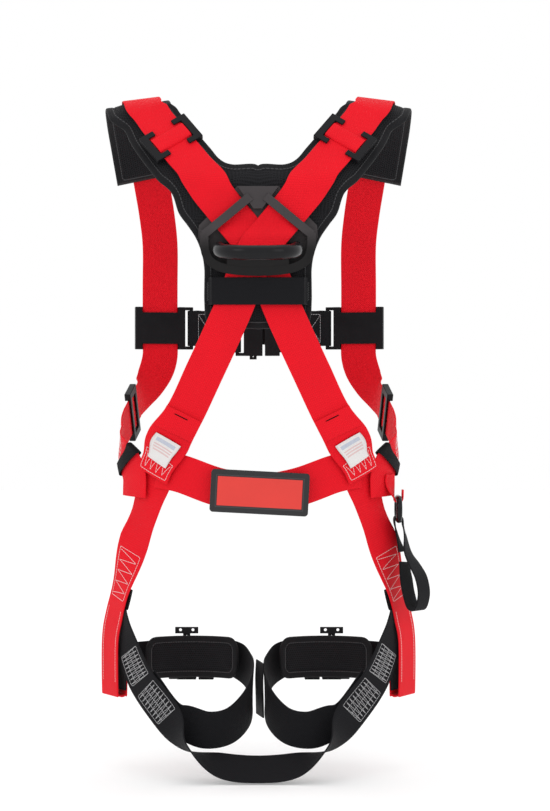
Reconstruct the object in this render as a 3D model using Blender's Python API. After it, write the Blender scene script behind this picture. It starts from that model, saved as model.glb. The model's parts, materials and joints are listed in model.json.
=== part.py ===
"""Full-body fall-arrest harness with a dorsal D-ring, as it sits on a wearer.

Metres, +Z up.  X is the wearer's right, +Y the wearer's front, and the origin is the
middle of the wearer's waist.  Webbing is swept along routes that are drawn on a harness of
the main sizes below, in units that grow with them, and every layer is lifted off the torso
by the thickness of what lies under it.
"""
import math

import bmesh
import bpy
import numpy as np
from mathutils import Matrix, Vector

MM = 0.001
SIDES = {"left": -1, "right": 1}

# Main sizes, and the length that one drawn unit has along each axis
HARNESS_WIDTH = 380 * MM
HARNESS_DEPTH = 330 * MM
HARNESS_HEIGHT = 814 * MM
WIDE = HARNESS_WIDTH / 380
DEEP = HARNESS_DEPTH / 330
TALL = HARNESS_HEIGHT / 814
DRAWN = np.array((WIDE, DEEP, TALL))

# Webbing and the room between two layers
WEB_WIDTH = 45 * MM
WEB_THICK = 1.8 * MM
GAP = 0.5 * MM

# Torso that the straps are drawn on: half width, half depth and squareness
CHEST = (178 * WIDE, 113 * DEEP, 8.0)
HIPS = (165 * WIDE, 114 * DEEP, 2.2)
CHEST_BOTTOM = 60 * TALL
HIPS_TOP = -30 * TALL
SHOULDER_LEAN = 0.569 * DEEP / TALL
SHOULDER_START = 290 * TALL
SHOULDER_ROUND = 4 * MM
HUG_TOP = 380 * TALL
HUG_TOP_FADE = 8 * TALL
HUG_BOTTOM = -130 * TALL
HUG_BOTTOM_FADE = 30 * TALL
HUG_FRONT = -28 * DEEP
HUG_FRONT_FADE = 20 * DEEP

# Yoke, dorsal plate and D-ring
PAD_THICK = 8 * MM
PAD_INNER_MARGIN = 11.5 * MM
PAD_OUTER_MARGIN = 21 * MM
PLATE_THICK = 2.5 * MM
ARM_WIDTH = 10 * MM
ARM_THICK = 3 * MM
BAR_Z = 214 * TALL
BAR_RADIUS = 4.5 * MM
BAR_REACH = 34 * MM
RING_ROD = 7 * MM
RING_TALL = 1.25
RING_HALF_WIDTH = 45 * MM
RING_DEPTH = 68 * MM
RING_FLAT = 18 * MM
RING_CORNER = 9 * MM
RING_DROOP = math.radians(10)
CROSSING_LOW = (95 * TALL, 140 * TALL)
CROSSING_HIGH = (265 * TALL, 290 * TALL)
BAND_OVER = WEB_WIDTH + 9.5 * WIDE
BAND_HALF_WIDTH = BAND_OVER + 7 * MM
BAND_SEWN = 4 * MM
BAND_HEIGHT = 32 * MM
BAND_Z = 162 * TALL

# Threaded fittings
RAIL_WIDTH = 9 * MM
BAR_THICK = 2.5 * MM
GLIDE_LENGTH = 40 * MM
GLIDE_SPLIT = 13 * MM
END_BAR = 7 * MM
MIDDLE_BAR = 8 * MM
GLIDE_STATION = 337 * TALL
ADJUSTER_LENGTH = 32 * MM
KEEPER_THICK = 1.5 * MM
KEEPER_ROOM = 2.6 * MM
KEEPER_ROW = 2
KEEPER_STEPS = 6
KEEPER_REACH = 3
SLIDER_LENGTH = 54 * MM
SLIDER_Z = 127 * TALL
SLIDER_WINDOW = 6.5 * MM
LOOP_BAR = 4 * MM
LOOP_SEWN = 14 * MM
LOOP_NECK = 6.5 * MM
JOIN = 2 * MM

# Quick buckles on the chest and the thighs
BUCKLE_DEPTH = 12 * MM
BUCKLE_BODY = 24 * MM
BUCKLE_MOUTH = 4 * MM
BUCKLE_WALL = WEB_WIDTH / 2 + GAP + 4 * MM
BLADE_WIDTH = 25 * MM
BLADE_THICK = 3.4 * MM
BLADE_LENGTH = 17 * MM
BLADE_ROOM = 1.5 * MM
TONGUE_START = 7 * MM
TONGUE_BODY = 19 * MM
TONGUE_FLOOR = 2 * MM
POCKET_FLOOR = BLADE_WIDTH / 2 + GAP + 2 * MM
RELEASE_WIDTH = 9 * MM
RELEASE_THICK = 5 * MM
RELEASE_TRAVEL = 3.5 * MM
RELEASE_PLACE = -8 * MM
RELEASE_CAP = 3 * MM
HEAD_WIDTH = 29 * MM
HEAD_HEIGHT = 7 * MM
HEAD_JOIN = 1 * MM
HOLE_PLACE = 0.27
HOLE_RADIUS = 1.9 * MM
SPRING_RADIUS = 1.6 * MM
SPRING_WIRE = 0.5 * MM
SPRING_TURNS = 4
SPRING_SIDES = 7
CHEST_BUCKLE = (0, 121 * DEEP, 119 * TALL)
LEG_BUCKLE = (83 * WIDE, 74 * DEEP, -288 * TALL)

# Thighs
THIGH_X = LEG_BUCKLE[0]
THIGH_Y = -10 * DEEP
LEG_PAD_ROOM = 10 * MM
THIGH_RADIUS = LEG_BUCKLE[1] - THIGH_Y - LEG_PAD_ROOM
LEG_PAD_THICK = 7 * MM
LEG_PAD_HEIGHT = 52 * MM
LEG_PAD_Z = LEG_BUCKLE[2] + 3 * MM
LEG_PAD_HALF_ANGLE = math.radians(52)
LEG_LOOP_GAP = 10 * MM

# Label pouch and hip label
POUCH_SIZE = (115 * MM, 50 * MM)
POUCH_X = 2 * WIDE
POUCH_Z = -73 * TALL
POUCH_CORNER = 4 * MM
POUCH_TILT = math.radians(3)
POUCH_SHEET = 2 * MM
HIP_LABEL_WIDTH = 28 * MM
HIP_LABEL_THICK = 0.8 * MM
SHOULDER_TAB_WIDTH = 12 * MM
SHOULDER_TAB_STATION = 308 * TALL

# Accessory on the right hip
ACCESSORY_X = 167.5 * WIDE
ACCESSORY_Y = -58 * DEEP
ACCESSORY_TOP = -82 * TALL
ACCESSORY_ROD = 3.5 * MM
ACCESSORY_HEIGHT = 26 * MM
ACCESSORY_HALF_WIDTH = 26 * MM
ACCESSORY_TAB_WIDTH = 20 * MM
ACCESSORY_LOOP_WIDTH = 25 * MM

# Heights above the torso, each one layer further out
LAYER = WEB_THICK + 2 * GAP
ON_PAD = PAD_THICK + GAP
ON_PLATE = ON_PAD + PLATE_THICK + 2 * GAP
BAR_HEIGHT = ON_PLATE + BAR_RADIUS - GAP
OVER_BAR = 2 * BAR_RADIUS + 2 * GAP
LIP = 0.4375 * LOOP_BAR
LOOP_RADIUS = 0.7 * LOOP_BAR + GAP
TONGUE_STRAP_DEPTH = BLADE_THICK / 2 + GAP + WEB_THICK
RECEIVER_BAR = BUCKLE_BODY - BUCKLE_MOUTH + SLIDER_WINDOW + LOOP_BAR / 2

RED = ("webbing_red", (0.74, 0.005, 0.012), 0.7, 0.0)
BLACK = ("webbing_black", (0.012, 0.012, 0.014), 0.75, 0.0)
PADDING = ("padding_black", (0.015, 0.015, 0.017), 0.9, 0.0)
PLASTIC = ("plastic_grey", (0.05, 0.047, 0.048), 0.55, 0.0)
COATED = ("coated_metal", (0.015, 0.015, 0.016), 0.25, 0.8)
LABEL = ("label_white", (0.8, 0.78, 0.76), 0.6, 0.0)
POUCH = ("pouch_red", (0.7, 0.03, 0.02), 0.6, 0.0)
SPRING = ("spring_steel", (0.5, 0.5, 0.5), 0.3, 1.0)


# Curves and frames


def unit(rows):
    return rows / np.linalg.norm(rows, axis=-1, keepdims=True)


def smoothstep(low, high, value):
    t = np.clip((value - low) / (high - low), 0.0, 1.0)
    return t * t * (3 - 2 * t)


def spline(rows, steps):
    """Catmull-Rom curve through the rows, with the given steps to each span."""
    rows = np.asarray(rows, float)
    ends = np.vstack([2 * rows[0] - rows[1], rows, 2 * rows[-1] - rows[-2]])
    t = np.linspace(0, 1, steps, endpoint=False)[:, None]
    spans = []
    for a, b, c, d in zip(ends, ends[1:], ends[2:], ends[3:]):
        cubic = (3 * b - a - 3 * c + d) * t**3
        spans.append(0.5 * (2 * b + (c - a) * t + (2 * a - 5 * b + 4 * c - d) * t**2 + cubic))
    return np.vstack(spans + [rows[-1:]])


def torso_lean(z):
    """How far the upper back leans forward at height z, and the slope of that lean."""
    rise = z - SHOULDER_START
    root = np.sqrt(rise**2 + SHOULDER_ROUND**2)
    return SHOULDER_LEAN * 0.5 * (rise + root), SHOULDER_LEAN * 0.5 * (1 + rise / root)


def torso_section(z):
    """Half width, half depth and squareness of the torso at height z."""
    chest = smoothstep(HIPS_TOP, CHEST_BOTTOM, z)
    return [low + (high - low) * chest for low, high in zip(HIPS, CHEST)]


def on_torso(points, height):
    """Points moved onto the torso and lifted by height along its normal."""
    x, y, z = np.moveaxis(points, -1, 0)
    width, depth, square = torso_section(z)
    lean, slope = torso_lean(z)
    y = y - lean
    scale = (np.abs(x / width) ** square + np.abs(y / depth) ** square) ** (-1 / square)
    x = x * scale
    y = y * scale
    normal_x = np.sign(x) * np.abs(x / width) ** (square - 1) / width
    normal_y = np.sign(y) * np.abs(y / depth) ** (square - 1) / depth
    normal = unit(np.stack([normal_x, normal_y, -normal_y * slope], axis=-1))
    return np.stack([x, y + lean, z], axis=-1) + normal * height[..., None]


def bar_bump(points):
    """Extra height of whatever passes over the D-ring's bar."""
    away = np.abs(points[..., 2] - BAR_Z)
    beside = np.abs(points[..., 0])
    rise = 1 - smoothstep(2 * BAR_RADIUS, BAR_REACH, away)
    inside = 1 - smoothstep(RING_HALF_WIDTH - RING_CORNER, RING_HALF_WIDTH + 2 * RING_ROD, beside)
    return OVER_BAR * rise * inside


def stations(route, steps, upright=False):
    """Centre, tangent, across, normal and height rows along a route of hand-set rows.

    A row is x, y, z in drawn units, an outward direction, and a height in metres.
    """
    rows = spline(route, steps)
    centre = rows[:, :3] * DRAWN
    tangent = unit(np.gradient(centre, axis=0))
    across = unit(np.cross(rows[:, 3:6], tangent))
    if upright:
        across = np.sign(across) * (0, 0, 1)
    return centre, tangent, across, unit(np.cross(tangent, across)), rows[:, 6]


def hugs_torso(centre):
    """Share, from 0 to 1, by which a station follows the torso and not its own frame."""
    below = np.clip((HUG_TOP - centre[:, 2]) / HUG_TOP_FADE, 0, 1)
    above = np.clip((centre[:, 2] - HUG_BOTTOM) / HUG_BOTTOM_FADE, 0, 1)
    behind = np.clip((HUG_FRONT - centre[:, 1]) / HUG_FRONT_FADE, 0, 1)
    return below * above * behind


def strip_grid(route, offsets, lift, steps, bump=False, hug=True, over=0.0, upright=False):
    """Grid of points beside a route, at each offset across it and lift above its heights."""
    centre, _, across, normal, height = stations(route, steps, upright)
    grid = centre[:, None] + across[:, None] * np.asarray(offsets)[None, :, None]
    height = height + lift + over * over_crossing(centre)
    height = np.repeat(height[:, None], grid.shape[1], axis=1)
    free = grid + normal[:, None] * height[..., None]
    if not hug:
        return free
    share = hugs_torso(centre)[:, None, None]
    extra = bar_bump(grid) if bump else 0.0
    return share * on_torso(grid, height + extra) + (1 - share) * free


def over_crossing(centre):
    """1 where one shoulder strap lies over the other, fading out above and below."""
    z = centre[:, 2]
    fade = smoothstep(*CROSSING_LOW, z) * (1 - smoothstep(*CROSSING_HIGH, z))
    return np.where(centre[:, 1] < 0, fade, 0.0)


# Objects and solids


def material(spec):
    name, colour, roughness, metallic = spec
    found = bpy.data.materials.get(name)
    if found:
        return found
    made = bpy.data.materials.new(name)
    made.use_nodes = True
    shader = made.node_tree.nodes["Principled BSDF"]
    shader.inputs["Base Color"].default_value = (*colour, 1)
    shader.inputs["Roughness"].default_value = roughness
    shader.inputs["Metallic"].default_value = metallic
    return made


def add(name, points, faces, spec, matrix=None):
    """New object from points in its own frame, with its faces turned outwards."""
    mesh = bpy.data.meshes.new(name)
    mesh.from_pydata([tuple(p) for p in np.asarray(points).reshape(-1, 3)], [], faces)
    work = bmesh.new()
    work.from_mesh(mesh)
    bmesh.ops.recalc_face_normals(work, faces=work.faces)
    work.to_mesh(mesh)
    work.free()
    mesh.materials.append(material(spec))
    made = bpy.data.objects.new(name, mesh)
    bpy.context.collection.objects.link(made)
    if matrix is not None:
        made.matrix_world = matrix
    return made


def from_origin(name, points, faces, spec, origin):
    """Object whose points are given in the world and whose origin is set."""
    return add(name, np.asarray(points) - np.asarray(origin), faces, spec, Matrix.Translation(origin))


def sheet_faces(quads, count):
    """Faces of a closed solid between a lower and an upper copy of a sheet of quads."""
    faces = [(quad[0], *reversed(quad[1:])) for quad in quads]
    faces += [tuple(i + count for i in quad) for quad in quads]
    edges = [(quad[i], quad[(i + 1) % 4]) for quad in quads for i in range(4)]
    inside = {(b, a) for a, b in edges}
    faces += [(a, b, b + count, a + count) for a, b in edges if (a, b) not in inside]
    return faces


def grid_quads(rows, columns, first=0):
    index = first + np.arange(rows * columns).reshape(rows, columns)
    corners = (index[:-1, :-1], index[1:, :-1], index[1:, 1:], index[:-1, 1:])
    return [tuple(int(i) for i in quad) for quad in np.stack(corners, axis=-1).reshape(-1, 4)]


def strip(name, route, width, spec, thick=WEB_THICK, lift=0.0, columns=4, steps=2, origin=(0, 0, 0), **how):
    """Band of webbing along a route: a grid below, a grid above, and walls between."""
    offsets = np.linspace(-width / 2, width / 2, columns + 1)
    inner = strip_grid(route, offsets, lift, steps, **how)
    outer = strip_grid(route, offsets, lift + thick, steps, **how)
    quads = grid_quads(*inner.shape[:2])
    points = np.concatenate([inner.reshape(-1, 3), outer.reshape(-1, 3)])
    return from_origin(name, points, sheet_faces(quads, inner.shape[0] * inner.shape[1]), spec, origin)


def prism(name, outline, low, high, spec, matrix=None):
    """Solid with a flat outline (u, v) between two heights."""
    count = len(outline)
    points = [(u, v, low) for u, v in outline] + [(u, v, high) for u, v in outline]
    faces = [tuple(range(count)), tuple(range(count, 2 * count))]
    for i in range(count):
        j = (i + 1) % count
        faces.append((i, j, j + count, i + count))
    return add(name, points, faces, spec, matrix)


def rectangle(u0, u1, v0, v1):
    return [(u0, v0), (u1, v0), (u1, v1), (u0, v1)]


def round_rectangle(width, height, radius, segments=4):
    """Outline of a rectangle about the origin with round corners."""
    outline = []
    for quarter, (su, sv) in enumerate(((1, 1), (-1, 1), (-1, -1), (1, -1))):
        for step in range(segments + 1):
            angle = (quarter + step / segments) * math.pi / 2
            u = su * (width / 2 - radius) + radius * math.cos(angle)
            v = sv * (height / 2 - radius) + radius * math.sin(angle)
            outline.append((u, v))
    return outline


def circle(u, v, radius, sides=12):
    turns = [2 * math.pi * i / sides for i in range(sides)]
    return [(u + radius * math.cos(turn), v + radius * math.sin(turn)) for turn in turns]


def combine(body, other, operation):
    """Body joined with, or cut by, another object, which is used up."""
    modifier = body.modifiers.new("combine", "BOOLEAN")
    modifier.operation = operation
    modifier.solver = "EXACT"
    modifier.object = other
    bpy.context.view_layer.update()
    mesh = bpy.data.meshes.new_from_object(body.evaluated_get(bpy.context.evaluated_depsgraph_get()))
    body.modifiers.clear()
    body.data = mesh
    bpy.data.objects.remove(other)


def blocks(name, matrix, spec, solid, cuts=()):
    """Object made of joined boxes less cut boxes; a box is u0, u1, v0, v1, n0, n1."""
    made = None
    for box in solid:
        block = prism(name, rectangle(*box[:4]), box[4], box[5], spec, matrix)
        if made is None:
            made = block
        else:
            combine(made, block, "UNION")
    for box in cuts:
        combine(made, prism("cut", rectangle(*box[:4]), box[4], box[5], spec, matrix), "DIFFERENCE")
    return made


def tube(name, centre, plane_normal, radii, sides, spec, origin, closed, tall=1.0):
    """Bar along points in a plane, tall times as high as wide; a facet faces the inside of a bend."""
    centre = np.asarray(centre)
    if closed:
        tangent = unit(np.roll(centre, -1, axis=0) - np.roll(centre, 1, axis=0))
    else:
        tangent = unit(np.gradient(centre, axis=0))
    side = unit(np.cross(plane_normal, tangent))
    rise = np.cross(tangent, side)
    turns = (np.arange(sides) + 0.5) * 2 * math.pi / sides
    rise = rise * np.reshape(tall, (-1, 1))
    ring = side[:, None] * np.cos(turns)[None, :, None] + rise[:, None] * np.sin(turns)[None, :, None]
    points = centre[:, None] + ring * np.asarray(radii)[:, None, None]
    rows = len(centre)
    faces = []
    for i in range(rows if closed else rows - 1):
        j = (i + 1) % rows
        for k in range(sides):
            m = (k + 1) % sides
            faces.append((i * sides + k, j * sides + k, j * sides + m, i * sides + m))
    if not closed:
        faces.append(tuple(range(sides)))
        faces.append(tuple(range((rows - 1) * sides, rows * sides)))
    made = from_origin(name, points.reshape(-1, 3), faces, spec, origin)
    made.data.shade_smooth()
    made.data.set_sharp_from_angle(angle=math.radians(40))
    return made


def frame(origin, along, normal):
    """Matrix with its first axis along a strap and its third axis out of the strap."""
    u = Vector(along).normalized()
    v = Vector(normal).cross(u).normalized()
    n = u.cross(v)
    columns = Matrix((u, v, n)).transposed().to_4x4()
    return Matrix.Translation(origin) @ columns


# Strap routes


def row(point, normal, height=0.0):
    """Route row from a point in metres."""
    return (*(np.asarray(point) / DRAWN), *normal, height)


def mirrored(route, side):
    """Route for one side of the wearer, from one drawn for the right side."""
    return [(side * x, y, z, side * nx, ny, nz, h) for x, y, z, nx, ny, nz, h in route]


SIDE_DIRECTION = np.array((0.16, -0.89, -0.427))
ADJUSTER_POINT = np.array((156.0, 42.0, 20.0))
SIDE_NORMAL = (0.984, 0.177, 0)


def side_row(distance):
    """Row on the straight stretch of strap at the wearer's side."""
    return (*(ADJUSTER_POINT + SIDE_DIRECTION * distance), *SIDE_NORMAL, 0.0)


FRONT_NORMAL = (0.208, 0.978, 0)
FRONT_X = 126
FRONT_Y = 107
BACK = (0, -1, 0)
CROSSING = 212
STRAP_SLOPE = 0.821
LOOP_NORMAL = (0.875, -0.485, 0)


def back_row(z):
    """Row on the straight stretch from the crossing up to the shoulder."""
    lean, slope = torso_lean(z * TALL)
    y = (lean - CHEST[1]) / DEEP
    return (STRAP_SLOPE * (z - CROSSING), y, z, 0, -1, slope, ON_PLATE)


def lower_back_row(x, z, height):
    """Row on the back of the torso, lifted by a height."""
    x = x * WIDE
    z = z * TALL
    width, depth, square = torso_section(z)
    behind = depth * (1 - abs(x / width) ** square) ** (1 / square)
    point = np.array((x, torso_lean(z)[0] - behind, z))
    return row(point, on_torso(point, np.array(1.0)) - point, height)


def padded_rows():
    """Rows of the right shoulder strap from the front of the shoulder down to the yoke's panel."""
    top = [
        (135, 74, 312, 0.2, 0.78, 0.55, ON_PAD),
        (140, 42, 350, 0.2, 0.55, 0.8, ON_PAD),
        (142.5, 2, 377, 0.2, 0.2, 0.96, ON_PAD),
        (141, -36, 388, 0.1, -0.25, 0.95, ON_PAD + 0.5 * GAP),
    ]
    return top + [back_row(z) for z in (374, 358, 337, 316, 300)]


def shoulder_route():
    """Right shoulder strap, from its sewn end at the hip to the opposite hip."""
    sewn = [
        lower_back_row(145, -57, 2 * LAYER),
        lower_back_row(147.6, -46.6, 2 * LAYER),
        lower_back_row(152, -35, 2 * LAYER),
        lower_back_row(156.5, -24.5, 2 * LAYER),
        (162, -25, -12, 0.97, -0.24, 0, 1.5 * LAYER),
        (163.5, -8, -4, 0.995, 0.02, 0, 0.5 * LAYER),
    ]
    side = [side_row(distance) for distance in (37, 30, 0, -32, -40)]
    turn = [
        (146.5, 93, 45, 0.85, 0.53, 0, 0.0),
        (138, 102.5, 58, 0.6, 0.8, 0, 0.0),
        (130, 106.2, 75, 0.3, 0.95, 0, 0.0),
    ]
    front = [(FRONT_X, FRONT_Y, z, *FRONT_NORMAL, 0.0) for z in (92, 112, 135, 180, 232)]
    rise = [(129, 97, 270, 0.2, 0.94, 0.28, 0.6 * ON_PAD)]
    back = [back_row(z) for z in (280, 262, 246, 230, CROSSING)]
    low = [
        lower_back_row(-7, 196, ON_PLATE),
        lower_back_row(-15, 178, ON_PLATE),
        lower_back_row(-27, 146, ON_PLATE),
        lower_back_row(-42, 112, ON_PLATE),
        lower_back_row(-63, 67, ON_PAD),
        lower_back_row(-86, 18, 3 * LAYER),
        lower_back_row(-101, -12, 3 * LAYER),
        lower_back_row(-113, -36, 3 * LAYER),
        lower_back_row(-121, -54, 3 * LAYER),
    ]
    return sewn + side + turn + front + rise + padded_rows() + back + low


def strap_point(z):
    """Where the right shoulder strap's middle lies on the back, and its frame there."""
    rows = np.array([back_row(z / TALL), back_row(z / TALL + 1)])[:, :3] * DRAWN
    height = np.full(2, ON_PLATE + WEB_THICK / 2)
    spot, step = on_torso(rows, height)
    normal = spot - on_torso(rows, 0 * height)[0]
    return Vector(spot), Vector(step - spot).normalized(), Vector(normal).normalized()


def hip_route():
    """Right hip strap: down from the junction, round its bottom loop and up inside."""
    top = ((102, -8), (107.5, -23.5), (114, -40), (122.5, -62), (132, -85))
    down = [lower_back_row(x, z, 0.0) for x, z in top]
    down += [
        (150, -56, -140, 0.88, -0.47, 0, 0.0),
        (164, -46, -188, *LOOP_NORMAL, 0.0),
        (173, -42, -224, *LOOP_NORMAL, 0.0),
        (178, -40, -255, *LOOP_NORMAL, 0.0),
        (178, -40, -314, *LOOP_NORMAL, 0.0),
    ]
    normal = unit(np.array(LOOP_NORMAL))
    inside = []
    for outer in reversed(down[-2:]):
        point = np.array(outer[:3]) * DRAWN - normal * LEG_LOOP_GAP
        inside.append(row(point, -normal))
    half = LEG_LOOP_GAP / 2
    middle = np.array(down[-1][:3]) * DRAWN - normal * half
    turn = []
    for angle in (45, 90, 135):
        way = normal * math.cos(math.radians(angle)) - np.array((0, 0, math.sin(math.radians(angle))))
        turn.append(row(middle + way * half, way))
    return down + turn + inside


def seat_half_route():
    """Right half of the seat strap, from the hip strap's loop to the middle."""
    inside = -0.42 * LEG_LOOP_GAP
    return [
        (164, -46, -188, *LOOP_NORMAL, inside),
        (170.3, -45, -219, *LOOP_NORMAL, inside),
        (166, -58, -240, *LOOP_NORMAL, inside),
        (156, -70, -262, 0.8, -0.6, 0, 0.5 * inside),
        (137, -80, -300, 0.62, -0.77, -0.15, 0.0),
        (107, -96, -338, 0.42, -0.86, -0.28, 0.0),
        (85, -106, -372, 0.55, -0.3, -0.78, 0.0),
        (44, -108, -393, 0.2, 0.5, -0.82, 0.0),
        (0, -107.5, -398, 0, 0.581, -0.814, 0.0),
    ]


def rear_leg_route():
    """Right leg strap from the seat strap round the inside of the thigh to the tongue."""
    seat = seat_half_route()
    inside = [(x, y, z, nx, ny, nz, -2 * LAYER) for x, y, z, nx, ny, nz, _ in seat[4:6]]
    buckle_x, buckle_y, buckle_z = LEG_BUCKLE
    threaded = []
    for distance in (41.5, 27, 11):
        point = (buckle_x - distance * MM, buckle_y - TONGUE_STRAP_DEPTH, buckle_z)
        threaded.append(row(point, (0, 1, 0)))
    return inside + [
        (84, -90, -348, 0.1, -0.97, -0.2, -LAYER),
        (60, -88, -356, -0.3, -0.94, -0.1, -LAYER),
        (35, -77, -352, -0.6, -0.78, -0.1, 0.0),
        (16, -48, -337, -0.88, -0.45, 0, 0.0),
        (9, -10, -319, -1, 0, 0, 0.0),
        (11, 22, -305, -0.92, 0.4, 0, 0.0),
        (16, 42, -298, -0.85, 0.52, 0, 0.0),
        (23.5, 59, -292.5, -0.6, 0.8, 0, 0.0),
        (32, 67.5, -289, -0.35, 0.94, 0, 0.0),
    ] + threaded


TAIL_NORMAL = (-0.98, -0.2, 0)
LEG_TAIL = (
    (2.5, -4, -350, *TAIL_NORMAL, 0.0),
    (2, -4, -328, *TAIL_NORMAL, 0.0),
    (1.5, -4, -306, *TAIL_NORMAL, 0.0),
    (2.5, -4, -284, *TAIL_NORMAL, 0.0),
)


def loop_rows(centre, out, normal, tail):
    """Rows of a strap's end that comes from a sewn tail, round a bar, and away along out."""
    centre = np.array(centre)
    out = unit(np.array(out, float))
    normal = unit(np.array(normal, float))
    closed = LOOP_RADIUS - GAP
    rows = []
    for distance, rise in ((tail, closed), (LOOP_SEWN, closed), (LOOP_NECK, -0.35 * LOOP_RADIUS)):
        rows.append(row(centre + out * distance + normal * rise, -normal))
    for angle in (-90, -135, 180, 135, 90):
        turn = math.radians(angle)
        way = out * math.cos(turn) + normal * math.sin(turn)
        rows.append(row(centre + way * LOOP_RADIUS, way))
    for distance in (LOOP_SEWN, tail):
        rows.append(row(centre + out * distance + normal * LOOP_RADIUS, normal))
    return rows


# Sub-parts


# Rows of the yoke's panel from its bottom to its neck: a point inside and a point at the edge
YOKE_PANEL = (
    ((0, 118), (52, 121)),
    ((0, 128), (61, 129)),
    ((0, 150), (63, 150)),
    ((0, 185), (63, 170)),
    ((0, 223), (63, 189)),
    ((0, 254), (66, 207)),
    ((0, 285), (73, 225)),
    ((0, 310), (83, 240)),
    ((30, 311), (93, 254)),
)


def yoke_pad():
    """Padded yoke: a back panel under the crossing and a tongue over each shoulder."""
    columns = 5
    share = np.linspace(0, 1, columns)[None, :, None]
    ends = np.array(YOKE_PANEL, float) * (WIDE, TALL)
    flat = ends[:, :1] * (1 - share) + ends[:, 1:] * share
    lean, _ = torso_lean(flat[..., 1])
    back = np.stack([flat[..., 0], lean - CHEST[1], flat[..., 1]], axis=-1)
    half = WEB_WIDTH / 2
    offsets = np.linspace(half + PAD_INNER_MARGIN, -half - PAD_OUTER_MARGIN, columns)
    over = [(*padded[:6], 0.0) for padded in reversed(padded_rows())]
    low = np.concatenate([on_torso(back, np.zeros(back.shape[:2])), strip_grid(over, offsets, 0.0, 2)])
    high = np.concatenate([
        on_torso(back, np.full(back.shape[:2], PAD_THICK)),
        strip_grid(over, offsets, PAD_THICK, 2),
    ])
    flip = np.array((-1, 1, 1))
    count = low.shape[0] * columns
    quads = grid_quads(low.shape[0], columns)
    mirror = [tuple(i + count for i in reversed(quad)) for quad in quads]
    seam = {count + row * columns: row * columns for row in range(len(YOKE_PANEL) - 1)}
    mirror = [tuple(seam.get(i, i) for i in quad) for quad in mirror]
    points = [low.reshape(-1, 3), (low * flip).reshape(-1, 3)]
    points += [high.reshape(-1, 3), (high * flip).reshape(-1, 3)]
    made = add("yoke_pad", np.concatenate(points), sheet_faces(quads + mirror, 2 * count), PADDING)
    work = bmesh.new()
    work.from_mesh(made.data)
    bmesh.ops.delete(work, geom=[v for v in work.verts if not v.link_faces], context="VERTS")
    work.to_mesh(made.data)
    work.free()


PLATE_OUTLINE = ((24, 285), (69, 239), (70, 225), (62, 210), (48, 194), (26, 182), (0, 178))
POST_OUTLINE = ((5, 258), (24, 284))
CORNER_OUTLINE = ((57, 222), (67, 233))
ARM_LINE = ((9, 272), (27, 257), (45, 242), (63, 227.5))
LOBE_LINE = ((62.5, 230), (62, 212), (56, 197), (37, 187.5), (0, 184.5))
LOBE_WEB_LINE = ((36, 195), (0, 193))
LOBE_WEB_HEIGHT = 24 * TALL


def dorsal_plate():
    """Plate under the crossing, with two arms and a lobe over the straps, joined at three posts."""
    outline = [(x * WIDE, z * TALL) for x, z in PLATE_OUTLINE]
    outline += [(-x, z) for x, z in reversed(outline[:-1])]
    facing = Matrix.Rotation(math.pi / 2, 4, "X")
    base = CHEST[1] + ON_PAD
    top = base + PLATE_THICK + 2 * LAYER + ARM_THICK + GAP
    plate = prism("dorsal_plate", outline, base, base + PLATE_THICK, PLASTIC, facing)
    post = [(x * WIDE, z * TALL) for x, z in POST_OUTLINE]
    post += [(-x, z) for x, z in reversed(post)]
    combine(plate, prism("post", post, base + GAP, top, PLASTIC, facing), "UNION")
    across, up = zip(*CORNER_OUTLINE)
    for side in SIDES.values():
        corner = rectangle(*sorted(side * x * WIDE for x in across), *(z * TALL for z in up))
        combine(plate, prism("corner", corner, base + GAP, top - GAP, PLASTIC, facing), "UNION")
        arm = mirrored(over_straps(ARM_LINE), side)
        piece = strip("arm", arm, ARM_WIDTH, PLASTIC, ARM_THICK, columns=2, steps=3, bump=True)
        combine(plate, piece, "UNION")
    lobe = both_sides(LOBE_LINE)
    piece = strip("lobe", lobe, ARM_WIDTH, PLASTIC, ARM_THICK, columns=2, steps=3, bump=True)
    combine(plate, piece, "UNION")
    how = {"lift": GAP / 2, "columns": 4, "steps": 3, "bump": True}
    web = both_sides(LOBE_WEB_LINE)
    piece = strip("lobe_web", web, LOBE_WEB_HEIGHT, PLASTIC, ARM_THICK - GAP, **how)
    combine(plate, piece, "UNION")


def over_straps(line):
    """Rows of a part of the plate that passes over both straps at the crossing."""
    height = ON_PLATE + 2 * LAYER + 2 * GAP
    return [(x, -CHEST[1] / DEEP, z, *BACK, height) for x, z in line]


def both_sides(line):
    """Rows over both straps from one side to the other, for a line that ends in the middle."""
    half = over_straps(line)
    return half + mirrored(half[:-1], -1)[::-1]


def dorsal_ring():
    """Forged D-ring that swings on its bar; its rim has a short straight middle."""
    outline = []
    bar_end = RING_HALF_WIDTH - RING_CORNER
    rim = RING_HALF_WIDTH - RING_FLAT / 2
    for turn in np.linspace(-math.pi / 2, 0, 5):
        x = bar_end + RING_CORNER * math.cos(turn)
        outline.append((x, RING_CORNER + RING_CORNER * math.sin(turn)))
    for turn in np.linspace(0, math.pi / 2, 9):
        outline.append((RING_FLAT / 2 + rim * math.cos(turn), RING_DEPTH - rim + rim * math.sin(turn)))
    outline += [(-x, depth) for x, depth in reversed(outline)]
    origin = np.array((0, -CHEST[1] - BAR_HEIGHT, BAR_Z))
    out = np.array((0, -math.cos(RING_DROOP), -math.sin(RING_DROOP)))
    centre = [origin + np.array((x, 0, 0)) + out * depth for x, depth in outline]
    growth = smoothstep(0.3 * RING_CORNER, 2 * RING_CORNER, np.array([depth for _, depth in outline]))
    radii = BAR_RADIUS + (RING_ROD - BAR_RADIUS) * growth
    plane = np.cross((1, 0, 0), out)
    tube("dorsal_ring", centre, plane, radii, 12, COATED, origin, True, 1 + (RING_TALL - 1) * growth)


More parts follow.
